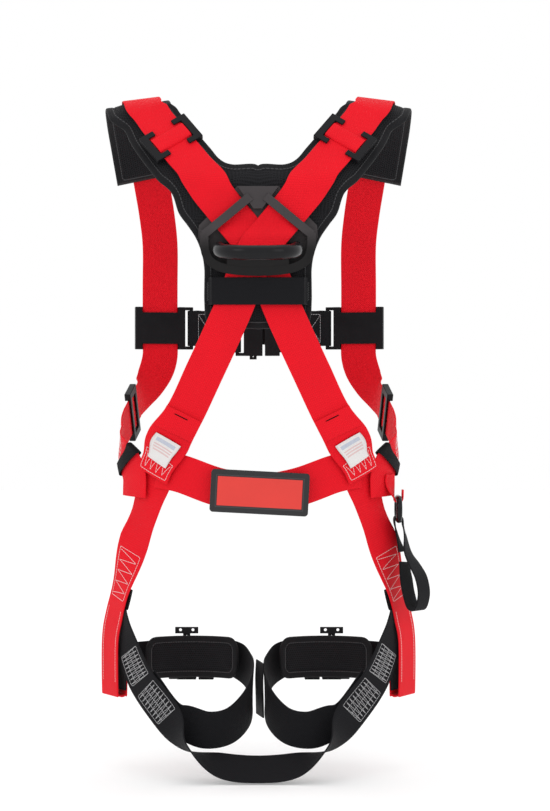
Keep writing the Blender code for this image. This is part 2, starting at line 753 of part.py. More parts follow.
def keeper_band():
    """Band sewn to the yoke on both sides, passing over both straps."""
    sewn = BAND_HALF_WIDTH - BAND_SEWN
    xs = np.array((0, 0.5 * BAND_OVER, BAND_OVER, sewn, BAND_HALF_WIDTH))
    xs = np.concatenate([-xs[:0:-1], xs])
    high = np.where(np.abs(xs) <= BAND_OVER, ON_PLATE + 2 * LAYER + 2 * GAP, ON_PAD)
    route = [row((x, -CHEST[1], BAND_Z), BACK, h) for x, h in zip(xs, high)]
    strip("keeper_band", route, BAND_HEIGHT, BLACK, columns=2, steps=1)


def threaded_frame(name, matrix, length, over, under):
    """Rails beside a strap with bars over and under it; a bar is u0, u1, v0, v1."""
    end = length / 2
    half = WEB_WIDTH / 2 + GAP
    wide = half + RAIL_WIDTH
    near = WEB_THICK / 2 + GAP
    top = near + BAR_THICK
    bars = [(*bar, -top, -near) for bar in under] + [(*bar, near, top) for bar in over]
    rails = [(-end, end, half, wide, -top, top), (-end, end, -wide, -half, -top, top)]
    blocks(name, matrix, COATED, bars[:1] + rails + bars[1:])


def shoulder_glides():
    """Split-bar tri-glides: a whole bar under the strap and split bars over it."""
    reach = WEB_WIDTH / 2 + RAIL_WIDTH / 2
    end = GLIDE_LENGTH / 2
    ends = ((-end, -end + END_BAR), (end - END_BAR, end))
    arms = [(*end, *sorted((side * GLIDE_SPLIT, side * reach))) for end in ends for side in (-1, 1)]
    middle = (-MIDDLE_BAR / 2, MIDDLE_BAR / 2, -reach, reach)
    point, along, normal = strap_point(GLIDE_STATION)
    flip = Vector((-1, 1, 1))
    for name, side in SIDES.items():
        mirror = flip if side < 0 else Vector((1, 1, 1))
        matrix = frame(point * mirror, along * mirror, normal * mirror)
        threaded_frame(f"shoulder_glide_{name}", matrix, GLIDE_LENGTH, arms, [middle])


def shoulder_tabs():
    """Small webbing tabs that stick out from under the shoulder straps."""
    point, along, normal = strap_point(SHOULDER_TAB_STATION)
    across = along.cross(normal)
    route = []
    for distance in (-12, 0, 12, 24, 36):
        route.append(row(point + across * distance * MM, normal, ON_PAD + GAP))
    for name, side in SIDES.items():
        tab = mirrored(route, side)
        strip(f"shoulder_tab_{name}", tab, SHOULDER_TAB_WIDTH, BLACK, columns=2, steps=1)


def side_fittings():
    """Adjuster frames and elastic keepers on the straight side straps."""
    half = WEB_WIDTH / 2 + RAIL_WIDTH / 2
    end = ADJUSTER_LENGTH / 2
    under = [(-end, -end + END_BAR, -half, half), (end - END_BAR, end, -half, half)]
    over = [(-MIDDLE_BAR / 2, MIDDLE_BAR / 2, -half, half)]
    for name, side in SIDES.items():
        along = Vector(SIDE_DIRECTION * DRAWN)
        along.x *= side
        normal = Vector(SIDE_NORMAL)
        normal.x *= side
        middle = along.normalized().cross(normal).cross(along).normalized() * WEB_THICK / 2
        spot = Vector(side_row(0)[:3] * DRAWN)
        spot.x *= side
        matrix = frame(spot + middle, along, normal)
        threaded_frame(f"torso_adjuster_{name}", matrix, ADJUSTER_LENGTH, over, under)
        sleeve(f"torso_keeper_{name}", mirrored(shoulder_route(), side))


def sleeve(name, route):
    """Elastic ring round a strap: loops of points across it, inside and outside, along a few stations."""
    middle = KEEPER_ROW * KEEPER_STEPS
    near = slice(middle - KEEPER_REACH, middle + KEEPER_REACH + 1)
    loops = []
    for room in (KEEPER_ROOM, KEEPER_ROOM + KEEPER_THICK):
        half = WEB_WIDTH / 2 + room
        offsets = np.linspace(-half, half, 5)
        low = strip_grid(route, offsets, -room, KEEPER_STEPS)[near]
        high = strip_grid(route, offsets, WEB_THICK + room, KEEPER_STEPS)[near]
        loops.append(np.concatenate([low, high[:, ::-1]], axis=1))
    index = np.arange(2 * loops[0][..., 0].size).reshape(2, *loops[0].shape[:2])
    faces = []
    for loop in index:
        after = np.roll(loop, -1, axis=1)
        faces += list(zip(*(part.ravel() for part in (loop[:-1], loop[1:], after[1:], after[:-1]))))
    for end in (0, -1):
        inner, outer = index[:, end]
        faces += list(zip(inner, outer, np.roll(outer, -1), np.roll(inner, -1)))
    points = np.concatenate(loops).reshape(-1, 3)
    faces = [tuple(map(int, face)) for face in faces]
    from_origin(name, points, faces, BLACK, loops[0][KEEPER_REACH].mean(0))


def chest_slider(name, side):
    """Slider on the front strap with a bar for the chest strap; returns the bar's middle."""
    normal = Vector((side * FRONT_NORMAL[0], FRONT_NORMAL[1], 0)).normalized()
    spot = Vector((side * FRONT_X * WIDE, FRONT_Y * DEEP, SLIDER_Z)) + normal * WEB_THICK / 2
    matrix = frame(spot, (0, 0, 1), normal)
    half = WEB_WIDTH / 2 + GAP
    end = SLIDER_LENGTH / 2
    rail = half + RAIL_WIDTH
    far = rail + SLIDER_WINDOW + LOOP_BAR
    inner = [sorted((-side * start, -side * far)) for start in (rail - JOIN, far - LOOP_BAR)]
    near = WEB_THICK / 2 + GAP
    top = near + BAR_THICK
    reach = half + RAIL_WIDTH / 2
    solid = [
        (-end, end, half, rail, -top, top),
        (-end, -end + END_BAR, -reach, reach, near, top),
        (-end, end, -rail, -half, -top, top),
        (end - END_BAR, end, -reach, reach, near, top),
        (-end + END_BAR, end - END_BAR, -reach, reach, -top, -near),
        (half, end, *inner[0], -LIP, LIP),
        (-end, end, *inner[1], -LIP, LIP),
        (-end, -half, *inner[0], -LIP, LIP),
    ]
    blocks(f"chest_slider_{name}", matrix, COATED, solid)
    return matrix @ Vector((0, -side * (far - LOOP_BAR / 2), 0))


def quick_buckle(label, tag, matrix, releases, head):
    """Receiver, tongue, release pieces and their springs, in a frame along the strap."""
    blade_v = BLADE_WIDTH / 2
    blade_n = BLADE_THICK / 2
    high = BUCKLE_DEPTH / 2
    body_start = BUCKLE_MOUTH - BUCKLE_BODY
    bar_start = body_start - SLIDER_WINDOW - LOOP_BAR
    side_v = WEB_WIDTH / 2 + GAP
    solid = [
        (body_start, BUCKLE_MOUTH, -BUCKLE_WALL, BUCKLE_WALL, -high, high),
        (bar_start, body_start + JOIN, side_v, BUCKLE_WALL, -LIP, LIP),
        (bar_start, bar_start + LOOP_BAR, -BUCKLE_WALL, BUCKLE_WALL, -LIP, LIP),
        (bar_start, body_start + JOIN, -BUCKLE_WALL, -side_v, -LIP, LIP),
    ]
    blade_tip = TONGUE_START - BLADE_LENGTH
    mouth = (blade_tip - BLADE_ROOM, BUCKLE_MOUTH + JOIN)
    cuts = [(*mouth, -blade_v - GAP, blade_v + GAP, -blade_n - GAP, blade_n + GAP)]
    pocket_u = RELEASE_WIDTH / 2 + GAP
    pocket_n = RELEASE_THICK / 2 + GAP
    for way in releases:
        span = sorted((way * POCKET_FLOOR, way * (BUCKLE_WALL + JOIN)))
        cuts.append((RELEASE_PLACE - pocket_u, RELEASE_PLACE + pocket_u, *span, -pocket_n, pocket_n))
    blocks(f"{label}_receiver{tag}", matrix, COATED, solid, cuts)

    slot_low = -TONGUE_STRAP_DEPTH - GAP
    body_end = TONGUE_START + TONGUE_BODY
    tongue = [
        (TONGUE_START, body_end, -BUCKLE_WALL, BUCKLE_WALL, slot_low - TONGUE_FLOOR, high - TONGUE_FLOOR),
        (blade_tip, TONGUE_START + JOIN, -blade_v, blade_v, -blade_n, blade_n),
    ]
    slot = (TONGUE_START - JOIN, body_end + JOIN, -side_v, side_v, slot_low, -blade_n)
    blocks(f"{label}_tongue{tag}", matrix, COATED, tongue, [slot])

    for way, which in releases.items():
        place = Matrix.Translation((RELEASE_PLACE, 0, 0))
        turn = Matrix.Rotation(0 if way > 0 else math.pi, 4, "Z")
        release(label, which, matrix @ place @ turn, head)


def release(label, which, local, head):
    """Press piece in the side of a receiver, hollow for the coil spring behind it."""
    start = POCKET_FLOOR + RELEASE_TRAVEL + GAP
    stop = BUCKLE_WALL + RELEASE_TRAVEL + 2 * GAP
    u = RELEASE_WIDTH / 2
    n = RELEASE_THICK / 2
    solid = [(-u, u, start, stop, -n, n)]
    if head:
        solid.append((-head / 2, head / 2, stop - HEAD_JOIN, stop + HEAD_HEIGHT, GAP - n, n - GAP))
    piece = blocks(f"{label}_release{which}", local, COATED, solid)
    bore = circle(0, 0, SPRING_RADIUS + SPRING_WIRE + GAP)
    along = local @ Matrix.Translation((0, start - JOIN, 0)) @ Matrix.Rotation(-math.pi / 2, 4, "X")
    depth = stop - start - RELEASE_CAP
    combine(piece, prism("bore", bore, 0, depth + JOIN, COATED, along), "DIFFERENCE")
    if head:
        for side in (-1, 1):
            hole = circle(side * head * HOLE_PLACE, stop + HEAD_HEIGHT / 2, HOLE_RADIUS)
            combine(piece, prism("hole", hole, -3 * n, 3 * n, COATED, local), "DIFFERENCE")
    steps = SPRING_SIDES * SPRING_TURNS
    angle = np.linspace(0, 2 * math.pi * SPRING_TURNS, steps)
    low = POCKET_FLOOR + GAP + SPRING_WIRE
    rise = np.linspace(low, start + depth - RELEASE_TRAVEL - GAP - SPRING_WIRE, steps)
    coil = np.stack([SPRING_RADIUS * np.cos(angle), rise, SPRING_RADIUS * np.sin(angle)], axis=-1)
    world = np.array([tuple(local @ Vector(point)) for point in coil])
    axis = local.to_3x3() @ Vector((0, 1, 0))
    seat = local @ Vector((0, POCKET_FLOOR, 0))
    wire = np.full(steps, SPRING_WIRE)
    tube(f"{label}_spring{which}", world, np.array(axis), wire, 4, SPRING, np.array(seat), False)


def chest_assembly():
    """Two sliders, two chest straps and the quick buckle between them."""
    bars = {name: chest_slider(name, side) for name, side in SIDES.items()}
    centre = Vector(CHEST_BUCKLE)
    matrix = frame(centre, (1, 0, 0), (0, 1, 0))
    quick_buckle("chest", "", matrix, {1: "_lower", -1: "_upper"}, 0)
    receiver_bar = centre - Vector((RECEIVER_BAR, 0, 0))
    left = loop_rows(bars["left"], (1, 0.05, 0), (-0.05, 1, 0), 22 * MM)
    left_end = loop_rows(receiver_bar, (-1, -0.05, 0), (-0.05, 1, 0), 18 * MM)
    route = left[:-1] + left_end[:-1][::-1]
    how = {"columns": 1, "steps": 3, "hug": False, "upright": True}
    strip("chest_strap_left", route, WEB_WIDTH, BLACK, **how)
    right = loop_rows(bars["right"], (-1, 0.05, 0), (0.05, 1, 0), 18 * MM)
    strap_y = centre.y - TONGUE_STRAP_DEPTH
    threaded = [row((x * MM, strap_y, centre.z), (0, 1, 0)) for x in (50, 44, 27, 11)]
    strip("chest_strap_right", right + threaded, WEB_WIDTH, BLACK, **how)


def leg_assembly(name, side):
    """Leg straps, pad and buckle of one thigh."""
    rear = mirrored(rear_leg_route(), side)
    strip(f"leg_strap_rear_{name}", rear, WEB_WIDTH, BLACK, columns=2, steps=4, hug=False)
    bar = (LEG_BUCKLE[0] + RECEIVER_BAR, LEG_BUCKLE[1], LEG_BUCKLE[2])
    front = loop_rows(bar, (0.85, -0.52, 0), (0.52, 0.85, 0), 24 * MM)
    front += [
        (162, 46, -289, 0.88, 0.47, 0, 0.0),
        (177, 18, -290, 0.97, 0.2, 0, 0.0),
        (182.5, -12, -290, 0.94, -0.34, 0, 0.0),
        (170, -37, -290, *LOOP_NORMAL, 0.0),
        (158, -58, -290, *LOOP_NORMAL, 0.0),
    ]
    route = mirrored(front, side)
    strip(f"leg_strap_front_{name}", route, WEB_WIDTH, BLACK, columns=2, steps=3, hug=False)
    matrix = frame((side * LEG_BUCKLE[0], *LEG_BUCKLE[1:]), (-side, 0, 0), (0, 1, 0))
    quick_buckle("leg", f"_{name}", matrix, {side: f"_{name}"}, HEAD_WIDTH)
    arc = []
    for angle in np.linspace(-LEG_PAD_HALF_ANGLE, LEG_PAD_HALF_ANGLE, 9):
        outward = (math.sin(angle), math.cos(angle))
        x = THIGH_X + outward[0] * THIGH_RADIUS
        y = THIGH_Y + outward[1] * THIGH_RADIUS
        arc.append(row((x, y, LEG_PAD_Z), (*outward, 0)))
    pad = mirrored(arc, side)
    how = {"lift": -LEG_PAD_THICK, "hug": False, "origin": (side * THIGH_X, THIGH_Y, LEG_BUCKLE[2])}
    strip(f"leg_pad_{name}", pad, LEG_PAD_HEIGHT, PADDING, LEG_PAD_THICK, columns=1, **how)


def hip_pieces(name, side):
    """Hip strap, the overlay sewn on the junction and the label below it."""
    strip(f"hip_strap_{name}", mirrored(hip_route(), side), WEB_WIDTH, RED)
    over = [lower_back_row(x, z, 4 * LAYER) for x, z in ((78, 35), (87, 16), (97, -4))]
    strip(f"hip_overlay_{name}", mirrored(over, side), WEB_WIDTH, RED, steps=3)
    label = [lower_back_row(x, z, 4 * LAYER + GAP) for x, z in ((100.5, -11), (107, -24), (114, -38))]
    strip(f"hip_label_{name}", mirrored(label, side), HIP_LABEL_WIDTH, LABEL, HIP_LABEL_THICK, steps=3)


def label_pouch():
    """Back panel, pages and a cover that hinges at its top edge."""
    width, height = POUCH_SIZE
    facing = Matrix.Rotation(math.pi / 2, 4, "X")
    outer = HIPS[1] + 2 * LAYER
    tilt = Matrix.Rotation(POUCH_TILT, 4, "Y")
    place = Matrix.Translation((POUCH_X, -outer, POUCH_Z)) @ tilt @ facing
    prism("label_pouch_back", round_rectangle(width, height, POUCH_CORNER), 0, POUCH_SHEET, BLACK, place)
    inset = 3 * POUCH_CORNER
    page = round_rectangle(width - inset, height - inset, POUCH_CORNER / 2)
    pages = POUCH_SHEET + GAP
    prism("label_pages", page, pages, pages + POUCH_SHEET, LABEL, place)
    cover = pages + POUCH_SHEET + GAP
    hinge = place @ Matrix.Translation((0, height / 2, cover))
    outline = [(u, v - height / 2) for u, v in round_rectangle(width, height, POUCH_CORNER)]
    prism("label_cover", outline, 0, POUCH_SHEET, POUCH, hinge)


def turn_rows(centre, first, last):
    """Rows round a rod that lies along Y, from one angle to another (0 is +X, 90 is +Z)."""
    rows = []
    for angle in np.linspace(math.radians(first), math.radians(last), 5):
        way = np.array((math.cos(angle), 0, math.sin(angle)))
        rows.append(row(centre + way * (ACCESSORY_ROD + GAP), way))
    return rows


def hanging_rows(centre, line):
    """Rows at distances x and z, in mm, from a point, with an outward x and z."""
    return [row(centre + np.array((x, 0, z)) * MM, (nx, 0, nz)) for x, z, nx, nz in line]


# The loop from the rod down, round its bottom and up to its sewn end
ACCESSORY_LINE = (
    (4.7, -7, 1, 0.1),
    (7.5, -20, 1, 0.2),
    (11, -38, 0.95, 0.3),
    (21, -53, 0.7, 0.7),
    (32, -68, 0.85, 0.5),
    (36, -87, 1, 0),
    (31, -104, 0.5, -0.85),
    (22, -103, -0.6, -0.8),
    (15.5, -86, -0.95, -0.25),
    (12, -68, -0.98, 0.1),
    (8.5, -50, -0.97, 0.2),
)


def accessory():
    """Red tab, oval ring and webbing loop hanging at the right hip."""
    pivot = np.array((ACCESSORY_X, ACCESSORY_Y, ACCESSORY_TOP))
    sewn = []
    for z in (-54, -65):
        *point, nx, ny, nz, _ = lower_back_row(150, z, 0.0)
        normal = np.array((nx, ny, nz))
        sewn.append(row(np.array(point) * DRAWN + normal * (3 * LAYER + WEB_THICK), -normal))
    tail = hanging_rows(pivot, ((4.2, 5, 1, 0), (4.4, 10, 1, 0)))
    route = sewn + turn_rows(pivot, -180, 0) + tail
    strip("accessory_tab", route, ACCESSORY_TAB_WIDTH, RED, columns=1, steps=2, hug=False)

    round_end = ACCESSORY_HEIGHT / 2
    straight = ACCESSORY_HALF_WIDTH - round_end
    centre = []
    for way in (1, -1):
        for turn in np.linspace(math.pi / 2, -math.pi / 2, 9):
            rise = way * round_end * math.sin(turn) - round_end
            centre.append(pivot + (0, way * (straight + round_end * math.cos(turn)), rise))
    radii = np.full(len(centre), ACCESSORY_ROD)
    tube("accessory_ring", centre, np.array((1, 0, 0)), radii, 8, COATED, pivot, True)

    low = pivot - (0, 0, ACCESSORY_HEIGHT)
    loop = hanging_rows(low, ((5.5, -38, -1, 0.3), (0, -20, -1, 0.2), (-3.2, -7, -1, 0.1)))
    loop += turn_rows(low, 180, 0)
    loop += hanging_rows(low, ACCESSORY_LINE)
    strip("accessory_loop", loop, ACCESSORY_LOOP_WIDTH, BLACK, columns=1, steps=3, hug=False, origin=pivot)


def main():
    for old in list(bpy.data.objects):
        bpy.data.objects.remove(old)
    yoke_pad()
    dorsal_plate()
    dorsal_ring()
    keeper_band()
    shoulder_glides()
    shoulder_tabs()
    side_fittings()
    for name, side in SIDES.items():
        over = LAYER + GAP if side > 0 else 0.0
        route = mirrored(shoulder_route(), side)
        strip(f"shoulder_strap_{name}", route, WEB_WIDTH, RED, steps=3, bump=True, over=over)
        hip_pieces(name, side)
        leg_assembly(name, side)
    half = seat_half_route()
    seat = half + mirrored(half[:-1], -1)[::-1]
    strip("seat_strap", seat, WEB_WIDTH, BLACK, columns=2, hug=False)
    half = [lower_back_row(x, z, LAYER + GAP) for x, z in ((117, -46), (88, -52), (45, -67), (0, -74))]
    waist = half + mirrored(half[:-1], -1)[::-1]
    strip("waist_strap", waist, WEB_WIDTH, RED, steps=6)
    strip("leg_tail_right", LEG_TAIL, WEB_WIDTH, BLACK, columns=1, steps=1, hug=False)
    label_pouch()
    accessory()
    chest_assembly()


main()
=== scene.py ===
"""Fall-arrest harness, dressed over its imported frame.

Laid out as an add-on and run as a script. Metres, +Z up, X to the wearer's right and +Y to the
wearer's front. Straps are outlines carried along the routes that the frame's straps follow.
"""
import json
import math

import bmesh
import bpy
import numpy as np
from bpy.props import FloatProperty, FloatVectorProperty, PointerProperty
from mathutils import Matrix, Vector

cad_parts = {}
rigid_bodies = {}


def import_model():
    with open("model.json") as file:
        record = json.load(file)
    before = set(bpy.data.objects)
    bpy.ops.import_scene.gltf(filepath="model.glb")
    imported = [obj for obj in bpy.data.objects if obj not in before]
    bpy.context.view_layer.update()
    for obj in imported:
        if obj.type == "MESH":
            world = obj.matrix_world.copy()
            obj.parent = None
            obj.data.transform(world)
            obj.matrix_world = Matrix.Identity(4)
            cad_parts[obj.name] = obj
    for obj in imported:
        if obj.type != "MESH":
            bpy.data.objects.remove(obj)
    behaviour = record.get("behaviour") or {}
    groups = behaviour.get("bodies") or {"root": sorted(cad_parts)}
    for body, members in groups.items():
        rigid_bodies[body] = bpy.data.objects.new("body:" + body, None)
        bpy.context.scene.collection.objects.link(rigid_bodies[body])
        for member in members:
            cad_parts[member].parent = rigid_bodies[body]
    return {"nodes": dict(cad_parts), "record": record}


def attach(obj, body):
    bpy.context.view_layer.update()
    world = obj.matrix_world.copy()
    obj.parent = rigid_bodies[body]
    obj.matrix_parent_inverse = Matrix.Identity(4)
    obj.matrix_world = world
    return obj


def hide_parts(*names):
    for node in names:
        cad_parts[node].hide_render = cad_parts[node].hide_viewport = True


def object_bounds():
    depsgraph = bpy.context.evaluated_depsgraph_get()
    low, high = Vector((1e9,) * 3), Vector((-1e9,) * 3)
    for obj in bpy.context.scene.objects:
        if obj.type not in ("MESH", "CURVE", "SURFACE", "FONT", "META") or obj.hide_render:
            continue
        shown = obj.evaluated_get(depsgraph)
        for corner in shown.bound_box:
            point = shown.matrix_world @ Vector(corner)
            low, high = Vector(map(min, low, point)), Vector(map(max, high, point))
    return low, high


for old in list(bpy.data.objects):
    bpy.data.objects.remove(old)
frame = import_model()
FRAME_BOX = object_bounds()
BODY_OF = {n: body for body, nodes in frame["record"]["behaviour"]["bodies"].items() for n in nodes}

bl_info = {
    "name": "Safety Harness",
    "version": (1, 0, 0),
    "blender": (4, 5, 0),
    "location": "View3D > Sidebar > Harness",
    "description": "Builds a full-body harness of webbing, pads and coated fittings",
    "category": "Add Mesh",
}

MM = 0.001
SIDES = {"left": -1, "right": 1}

# Sizes of the frame's solids, repeated here because the routes depend on them
WEB_WIDTH = 45 * MM
WEB_THICK = 1.8 * MM
GAP = 0.5 * MM
CHEST = (178 * MM, 113 * MM, 8.0)
HIPS = (165 * MM, 114 * MM, 2.2)
CHEST_BOTTOM = 60 * MM
HIPS_TOP = -30 * MM
SHOULDER_LEAN = 0.569
SHOULDER_START = 290 * MM
SHOULDER_ROUND = 4 * MM
HUG_TOP = 380 * MM
HUG_TOP_FADE = 8 * MM
HUG_BOTTOM = -130 * MM
HUG_BOTTOM_FADE = 30 * MM
HUG_FRONT = -28 * MM
HUG_FRONT_FADE = 20 * MM
PAD_THICK = 8 * MM
PAD_INNER_MARGIN = 11.5 * MM
PAD_OUTER_MARGIN = 21 * MM
PLATE_THICK = 2.5 * MM
BAR_Z = 214 * MM
BAR_RADIUS = 4.5 * MM
BAR_REACH = 34 * MM
RING_ROD = 7 * MM
RING_TALL = 1.25
RING_HALF_WIDTH = 45 * MM
RING_DEPTH = 68 * MM
RING_FLAT = 18 * MM
RING_CORNER = 9 * MM
RING_DROOP = math.radians(10)
CROSSING_LOW = (95 * MM, 140 * MM)
CROSSING_HIGH = (265 * MM, 290 * MM)
BAND_OVER = WEB_WIDTH + 9.5 * MM
BAND_HALF_WIDTH = BAND_OVER + 7 * MM
BAND_HEIGHT = 32 * MM
BAND_Z = 162 * MM
GLIDE_STATION = 337 * MM
SLIDER_BAR = 40.5 * MM
SLIDER_Z = 127 * MM
LOOP_BAR = 4 * MM
LOOP_SEWN = 14 * MM
LOOP_NECK = 6.5 * MM
CHEST_BUCKLE = (0, 121 * MM, 119 * MM)
LEG_BUCKLE = (83 * MM, 74 * MM, -288 * MM)
RECEIVER_BAR = 28.5 * MM
THIGH_X = LEG_BUCKLE[0]
THIGH_Y = -10 * MM
THIGH_RADIUS = 74 * MM
LEG_PAD_THICK = 7 * MM
LEG_PAD_HEIGHT = 52 * MM
LEG_PAD_Z = LEG_BUCKLE[2] + 3 * MM
LEG_PAD_HALF_ANGLE = math.radians(52)
LEG_LOOP_GAP = 10 * MM
POUCH_SIZE = (115 * MM, 50 * MM)
POUCH_X = 2 * MM
POUCH_Z = -73 * MM
POUCH_CORNER = 4 * MM
POUCH_TILT = math.radians(3)
POUCH_SHEET = 2 * MM
HIP_LABEL_WIDTH = 28 * MM
HIP_LABEL_THICK = 0.8 * MM
SHOULDER_TAB_WIDTH = 12 * MM
SHOULDER_TAB_STATION = 308 * MM
ACCESSORY_X = 167.5 * MM
ACCESSORY_Y = -58 * MM
ACCESSORY_TOP = -82 * MM
ACCESSORY_ROD = 3.5 * MM
ACCESSORY_HEIGHT = 26 * MM
ACCESSORY_HALF_WIDTH = 26 * MM
ACCESSORY_TAB_WIDTH = 20 * MM
ACCESSORY_LOOP_WIDTH = 25 * MM
TONGUE_STRAP_DEPTH = 4 * MM
LAYER = WEB_THICK + 2 * GAP
ON_PAD = PAD_THICK + GAP
ON_PLATE = ON_PAD + PLATE_THICK + 2 * GAP
BAR_HEIGHT = ON_PLATE + BAR_RADIUS - GAP
OVER_BAR = 2 * BAR_RADIUS + 2 * GAP
LOOP_RADIUS = 0.7 * LOOP_BAR + GAP

# Sizes of the dressing alone
ACCESSORY_TWIST = math.radians(38)
ACCESSORY_TWIST_LENGTH = 70 * MM
CHEST_TAIL = 36 * MM
LEG_TAIL_SEWN = 24 * MM
RECEIVER_TAIL = 18 * MM
RING_SHRINK = 0.97
KEEPER_ROW = 2
KEEPER_STEPS = 24
KEEPER_REACH = 13
KEEPER_SKINS = (2.55 * MM, 3.5 * MM)
FOLD_HALF_LENGTH = 11 * MM
FOLD_HALF_WIDTH = 22 * MM
FOLD_RISE = 2.9 * MM
STITCH_PITCH = 3.3 * MM
STITCH_RADIUS = 0.42 * MM
STITCH_SIDES = 5
STITCH_REACH = 17 * MM
SHOULDER_BOX = (-20 * MM, -10 * MM)
HIP_BOX = (-150 * MM, -206 * MM)
HIP_LINES = (-216 * MM, -306 * MM)
SEAT_BOXES = ((-262 * MM, -296 * MM), (-306 * MM, -338 * MM))
FLAT_ANGLE = math.radians(0.5)
SHARP_ANGLE = math.radians(35)
CLOTH_SHARP_ANGLE = math.radians(50)
BEVEL_ANGLE = math.radians(40)
YOKE_COLUMNS = 41
YOKE_STEPS = 9
YOKE_TAPE_THICK = 4.6 * MM
LEG_TAPE_THICK = 4.2 * MM
LEG_PAD_CORNER = 17 * MM
PRESS_FRAMES = 20
FLOOR_REACH = 9
FLOOR_LINES = 13
CAMERA_PLACE = (19.9 * MM, -2.717, 28.7 * MM)
# Name, place, size and share of the power of each large light
LIGHTS = (
    ("key_left", (-1.9, -2.6, 1.7), 1.6, 1.0),
    ("key_right", (2.0, -2.4, 1.2), 1.6, 0.7),
    ("top", (0.0, -0.4, 2.4), 2.0, 0.6),
    ("far", (0.0, 2.4, 1.4), 1.8, 0.5),
)


# Curves and frames


def unit(rows):
    """Rows scaled to a length of 1."""
    return rows / np.linalg.norm(rows, axis=-1, keepdims=True)


def smoothstep(low, high, value):
    """0 below low and 1 above high, along a cubic that starts and ends level."""
    t = np.clip((value - low) / (high - low), 0.0, 1.0)
    return t * t * (3 - 2 * t)


def run(points):
    """Length along a line of points, from 0 at its first point."""
    return np.concatenate([[0.0], np.cumsum(np.linalg.norm(np.diff(points, axis=0), axis=1))])


def spline(rows, steps):
    """Catmull-Rom curve through the rows, with the given steps to each span."""
    rows = np.asarray(rows, float)
    ends = np.vstack([2 * rows[0] - rows[1], rows, 2 * rows[-1] - rows[-2]])
    t = np.linspace(0, 1, steps, endpoint=False)[:, None]
    spans = []
    for a, b, c, d in zip(ends, ends[1:], ends[2:], ends[3:]):
        cubic = (3 * b - a - 3 * c + d) * t**3
        spans.append(0.5 * (2 * b + (c - a) * t + (2 * a - 5 * b + 4 * c - d) * t**2 + cubic))
    return np.vstack(spans + [rows[-1:]])


def torso_lean(z):
    """How far the upper back leans forward at height z, and the slope of that lean."""
    rise = z - SHOULDER_START
    root = np.sqrt(rise**2 + SHOULDER_ROUND**2)
    return SHOULDER_LEAN * 0.5 * (rise + root), SHOULDER_LEAN * 0.5 * (1 + rise / root)


def torso_section(z):
    """Half width, half depth and squareness of the torso at height z."""
    chest = smoothstep(HIPS_TOP, CHEST_BOTTOM, z)
    return [low + (high - low) * chest for low, high in zip(HIPS, CHEST)]


def on_torso(points, height):
    """Points moved onto the torso and lifted by height along its normal."""
    x, y, z = np.moveaxis(points, -1, 0)
    width, depth, square = torso_section(z)
    lean, slope = torso_lean(z)
    y = y - lean
    scale = (np.abs(x / width) ** square + np.abs(y / depth) ** square) ** (-1 / square)
    x = x * scale
    y = y * scale
    normal_x = np.sign(x) * np.abs(x / width) ** (square - 1) / width
    normal_y = np.sign(y) * np.abs(y / depth) ** (square - 1) / depth
    normal = unit(np.stack([normal_x, normal_y, -normal_y * slope], axis=-1))
    return np.stack([x, y + lean, z], axis=-1) + normal * height[..., None]


def bar_bump(points):
    """Extra height of whatever passes over the D-ring's bar."""
    away = np.abs(points[..., 2] - BAR_Z)
    beside = np.abs(points[..., 0])
    rise = 1 - smoothstep(2 * BAR_RADIUS, BAR_REACH, away)
    inside = 1 - smoothstep(RING_HALF_WIDTH - RING_CORNER, RING_HALF_WIDTH + 2 * RING_ROD, beside)
    return OVER_BAR * rise * inside


def stations(route, steps, upright=False):
    """Centre, tangent, across, normal and height rows along a route of listed rows.

    A row is x, y, z in millimetres, an outward direction, and a height in metres.
    """
    rows = spline(route, steps)
    centre = rows[:, :3] * MM
    tangent = unit(np.gradient(centre, axis=0))
    across = unit(np.cross(rows[:, 3:6], tangent))
    if upright:
        across = np.sign(across) * (0, 0, 1)
    return centre, tangent, across, unit(np.cross(tangent, across)), rows[:, 6]


def hugs_torso(centre):
    """Share, from 0 to 1, by which a station follows the torso and not its own frame."""
    below = np.clip((HUG_TOP - centre[:, 2]) / HUG_TOP_FADE, 0, 1)
    above = np.clip((centre[:, 2] - HUG_BOTTOM) / HUG_BOTTOM_FADE, 0, 1)
    behind = np.clip((HUG_FRONT - centre[:, 1]) / HUG_FRONT_FADE, 0, 1)
    return below * above * behind


def over_crossing(centre):
    """1 where one shoulder strap lies over the other, fading out above and below."""
    z = centre[:, 2]
    fade = smoothstep(*CROSSING_LOW, z) * (1 - smoothstep(*CROSSING_HIGH, z))
    return np.where(centre[:, 1] < 0, fade, 0.0)


# Strap routes


def row(point, normal, height=0.0):
    """Route row from a point in metres."""
    return (*(np.asarray(point) / MM), *normal, height)


def mirrored(route, side):
    """Route for one side of the wearer, from one drawn for the right side."""
    return [(side * x, y, z, side * nx, ny, nz, h) for x, y, z, nx, ny, nz, h in route]


def both_halves(half):
    """Route from side to side, from its right half that ends in the middle."""
    return half + mirrored(half[:-1], -1)[::-1]


SIDE_DIRECTION = np.array((0.16, -0.89, -0.427))
ADJUSTER_POINT = np.array((156.0, 42.0, 20.0))
SIDE_NORMAL = (0.984, 0.177, 0)


def side_row(distance):
    """Row on the straight stretch of strap at the wearer's side."""
    return (*(ADJUSTER_POINT + SIDE_DIRECTION * distance), *SIDE_NORMAL, 0.0)


FRONT_NORMAL = (0.208, 0.978, 0)
FRONT_X = 126
FRONT_Y = 107
BACK = (0, -1, 0)
CROSSING = 212
STRAP_SLOPE = 0.821
LOOP_NORMAL = (0.875, -0.485, 0)


def back_row(z):
    """Row on the straight stretch from the crossing up to the shoulder."""
    lean, slope = torso_lean(z * MM)
    y = (lean - CHEST[1]) / MM
    return (STRAP_SLOPE * (z - CROSSING), y, z, 0, -1, slope, ON_PLATE)


